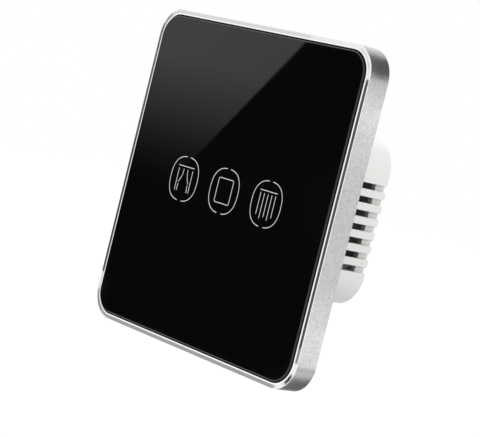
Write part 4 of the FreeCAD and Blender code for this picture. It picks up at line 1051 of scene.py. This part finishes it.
def card_in_corner(name, turns, distance, value):
    """Card that fills part of what the frame's top right corner mirrors, between two angles."""
    leans = ((turns[0], -CORNER_CARD_LEAN), (turns[1], -CORNER_CARD_LEAN),
             (turns[1], CORNER_CARD_LEAN), (turns[0], CORNER_CARD_LEAN))
    places = [seen_in_corner(turn, lean, distance) for turn, lean in leans]
    only_mirrored(flat_stage(name, places, flag_material(name.capitalize(), value)))


def card_beside_frame(name, height, half, value):
    """Small card near the frame's right side, where the camera looks by way of a height of it."""
    point = Vector((FRAME_HIGH.x, FRAME_MIDDLE, height))
    way = (point - CAMERA_PLACE).normalized().reflect(Vector((1, 0, 0)))
    middle = point + way * SIDE_CARD_DISTANCE
    along = way.cross(Vector((0, 0, 1))).normalized() * SIDE_CARD_HALF
    up = Vector((0, 0, half))
    corners = [middle - along - up, middle + along - up, middle + along + up, middle - along + up]
    only_mirrored(flat_stage(name, corners, flag_material(name.capitalize(), value)))


def cards():
    """Flags that keep the glass and the frame's face dark, and the softbox with a slanted edge."""
    card_in_glass("softbox", SOFTBOX_OUTLINE, SOFTBOX_DISTANCE, glow_card_material())
    card_in_glass("black_flag", BLACK_OUTLINE, FLAG_DISTANCE, flag_material("Black flag", 0.0))
    grey = flag_material("Grey flag", 0.10)
    card_in_glass("right_flag", strip(1.004, 0.075, 1.06, 0.88), FLAG_DISTANCE, grey)
    card_in_glass("right_fade", strip(1.004, 0.88, 1.06, 0.925), FLAG_DISTANCE,
                  flag_material("Fading flag", 0.32))
    card_in_ring("corner_flag", (1, -1), turns=(-46, -22), material=flag_material("Corner flag", 0.0))
    card_in_ring("corner_glow", (-1, -1), turns=(186, 268), material=flag_material("Dull flag", 0.5))
    card_in_glass("left_flag", strip(-0.06, 0.03, -0.004, 0.88), FLAG_DISTANCE, grey)
    card_in_glass("bottom_flag", strip(0.03, 1.004, 0.95, 1.06), FLAG_DISTANCE,
                  flag_material("Pale flag", 0.42))
    card_beside_frame("upper_card", height=28 * MM, half=3.5 * MM, value=2.3)
    card_beside_frame("upper_shade", height=38 * MM, half=5 * MM, value=0.45)
    card_beside_frame("lower_card", height=-32 * MM, half=4.5 * MM, value=2.5)
    card_beside_frame("lower_shade", height=-42 * MM, half=5 * MM, value=0.1)
    card_in_corner("upper_flag", turns=(7, 48), distance=0.45, value=0.0)
    card_in_corner("upper_glow", turns=(66, 96), distance=0.50, value=1.4)
    only_mirrored(flat_stage("lower_flag", LOWER_FLAG, flag_material("Lower flag", 0.15)))


def area_light(name, place, target, size, power):
    """Round lamp that shows neither to the camera nor in gloss."""
    data = bpy.data.lights.new(name, "AREA")
    data.shape = "DISK"
    data.size = size
    data.energy = power
    light = linked(name, data)
    light.location = place
    light.rotation_euler = (Vector(target) - Vector(place)).to_track_quat("-Z", "Y").to_euler()
    light.visible_camera = False
    light.visible_glossy = False


def world():
    """Pale surroundings, a little brighter overhead, and plain white to the camera and in gloss."""
    made = bpy.data.worlds.new("Studio")
    bpy.context.scene.world = made
    tree, surface = emptied(made, "ShaderNodeOutputWorld")
    way = add(tree, "ShaderNodeTexCoord").outputs["Generated"]
    height = add(tree, "ShaderNodeSeparateXYZ", {0: way}).outputs["Z"]
    ambient = add(tree, "ShaderNodeMapRange",
                  {"Value": height, "From Min": WORLD_HEIGHTS[0], "From Max": WORLD_HEIGHTS[1],
                   "To Min": WORLD_GLOW[0], "To Max": WORLD_GLOW[1]},
                  interpolation_type="SMOOTHSTEP").outputs[0]
    strength = add(tree, "ShaderNodeMix", {0: sight(tree), 2: ambient, 3: 1.0}).outputs[0]
    glow = add(tree, "ShaderNodeBackground", {"Color": (1, 1, 1, 1), "Strength": strength})
    tree.links.new(glow.outputs[0], surface)


def lights():
    """The lamps that light the metal and the box."""
    for name, values in LIGHTS.items():
        area_light(name, *values)


def camera():
    """The photograph's view."""
    data = bpy.data.cameras.new("Camera")
    data.sensor_width = CAMERA_SENSOR
    data.lens = CAMERA_LENS
    data.clip_start, data.clip_end = CAMERA_RANGE
    made = linked("Camera", data)
    back = CAMERA_BACK.normalized()
    right = (CAMERA_RIGHT - CAMERA_RIGHT.dot(back) * back).normalized()
    up = back.cross(right)
    turn = Matrix((right, up, back)).transposed().to_4x4()
    made.matrix_world = Matrix.Translation(CAMERA_PLACE) @ turn
    bpy.context.scene.camera = made


camera()
glass()
frame_ring()
icons()
softened_pieces()
touch_springs()
status_lights()
solder_joints()
chip_parts()
copper_tracks()
floor()
cards()
world()
lights()
bpy.context.scene.view_settings.view_transform = "Standard"
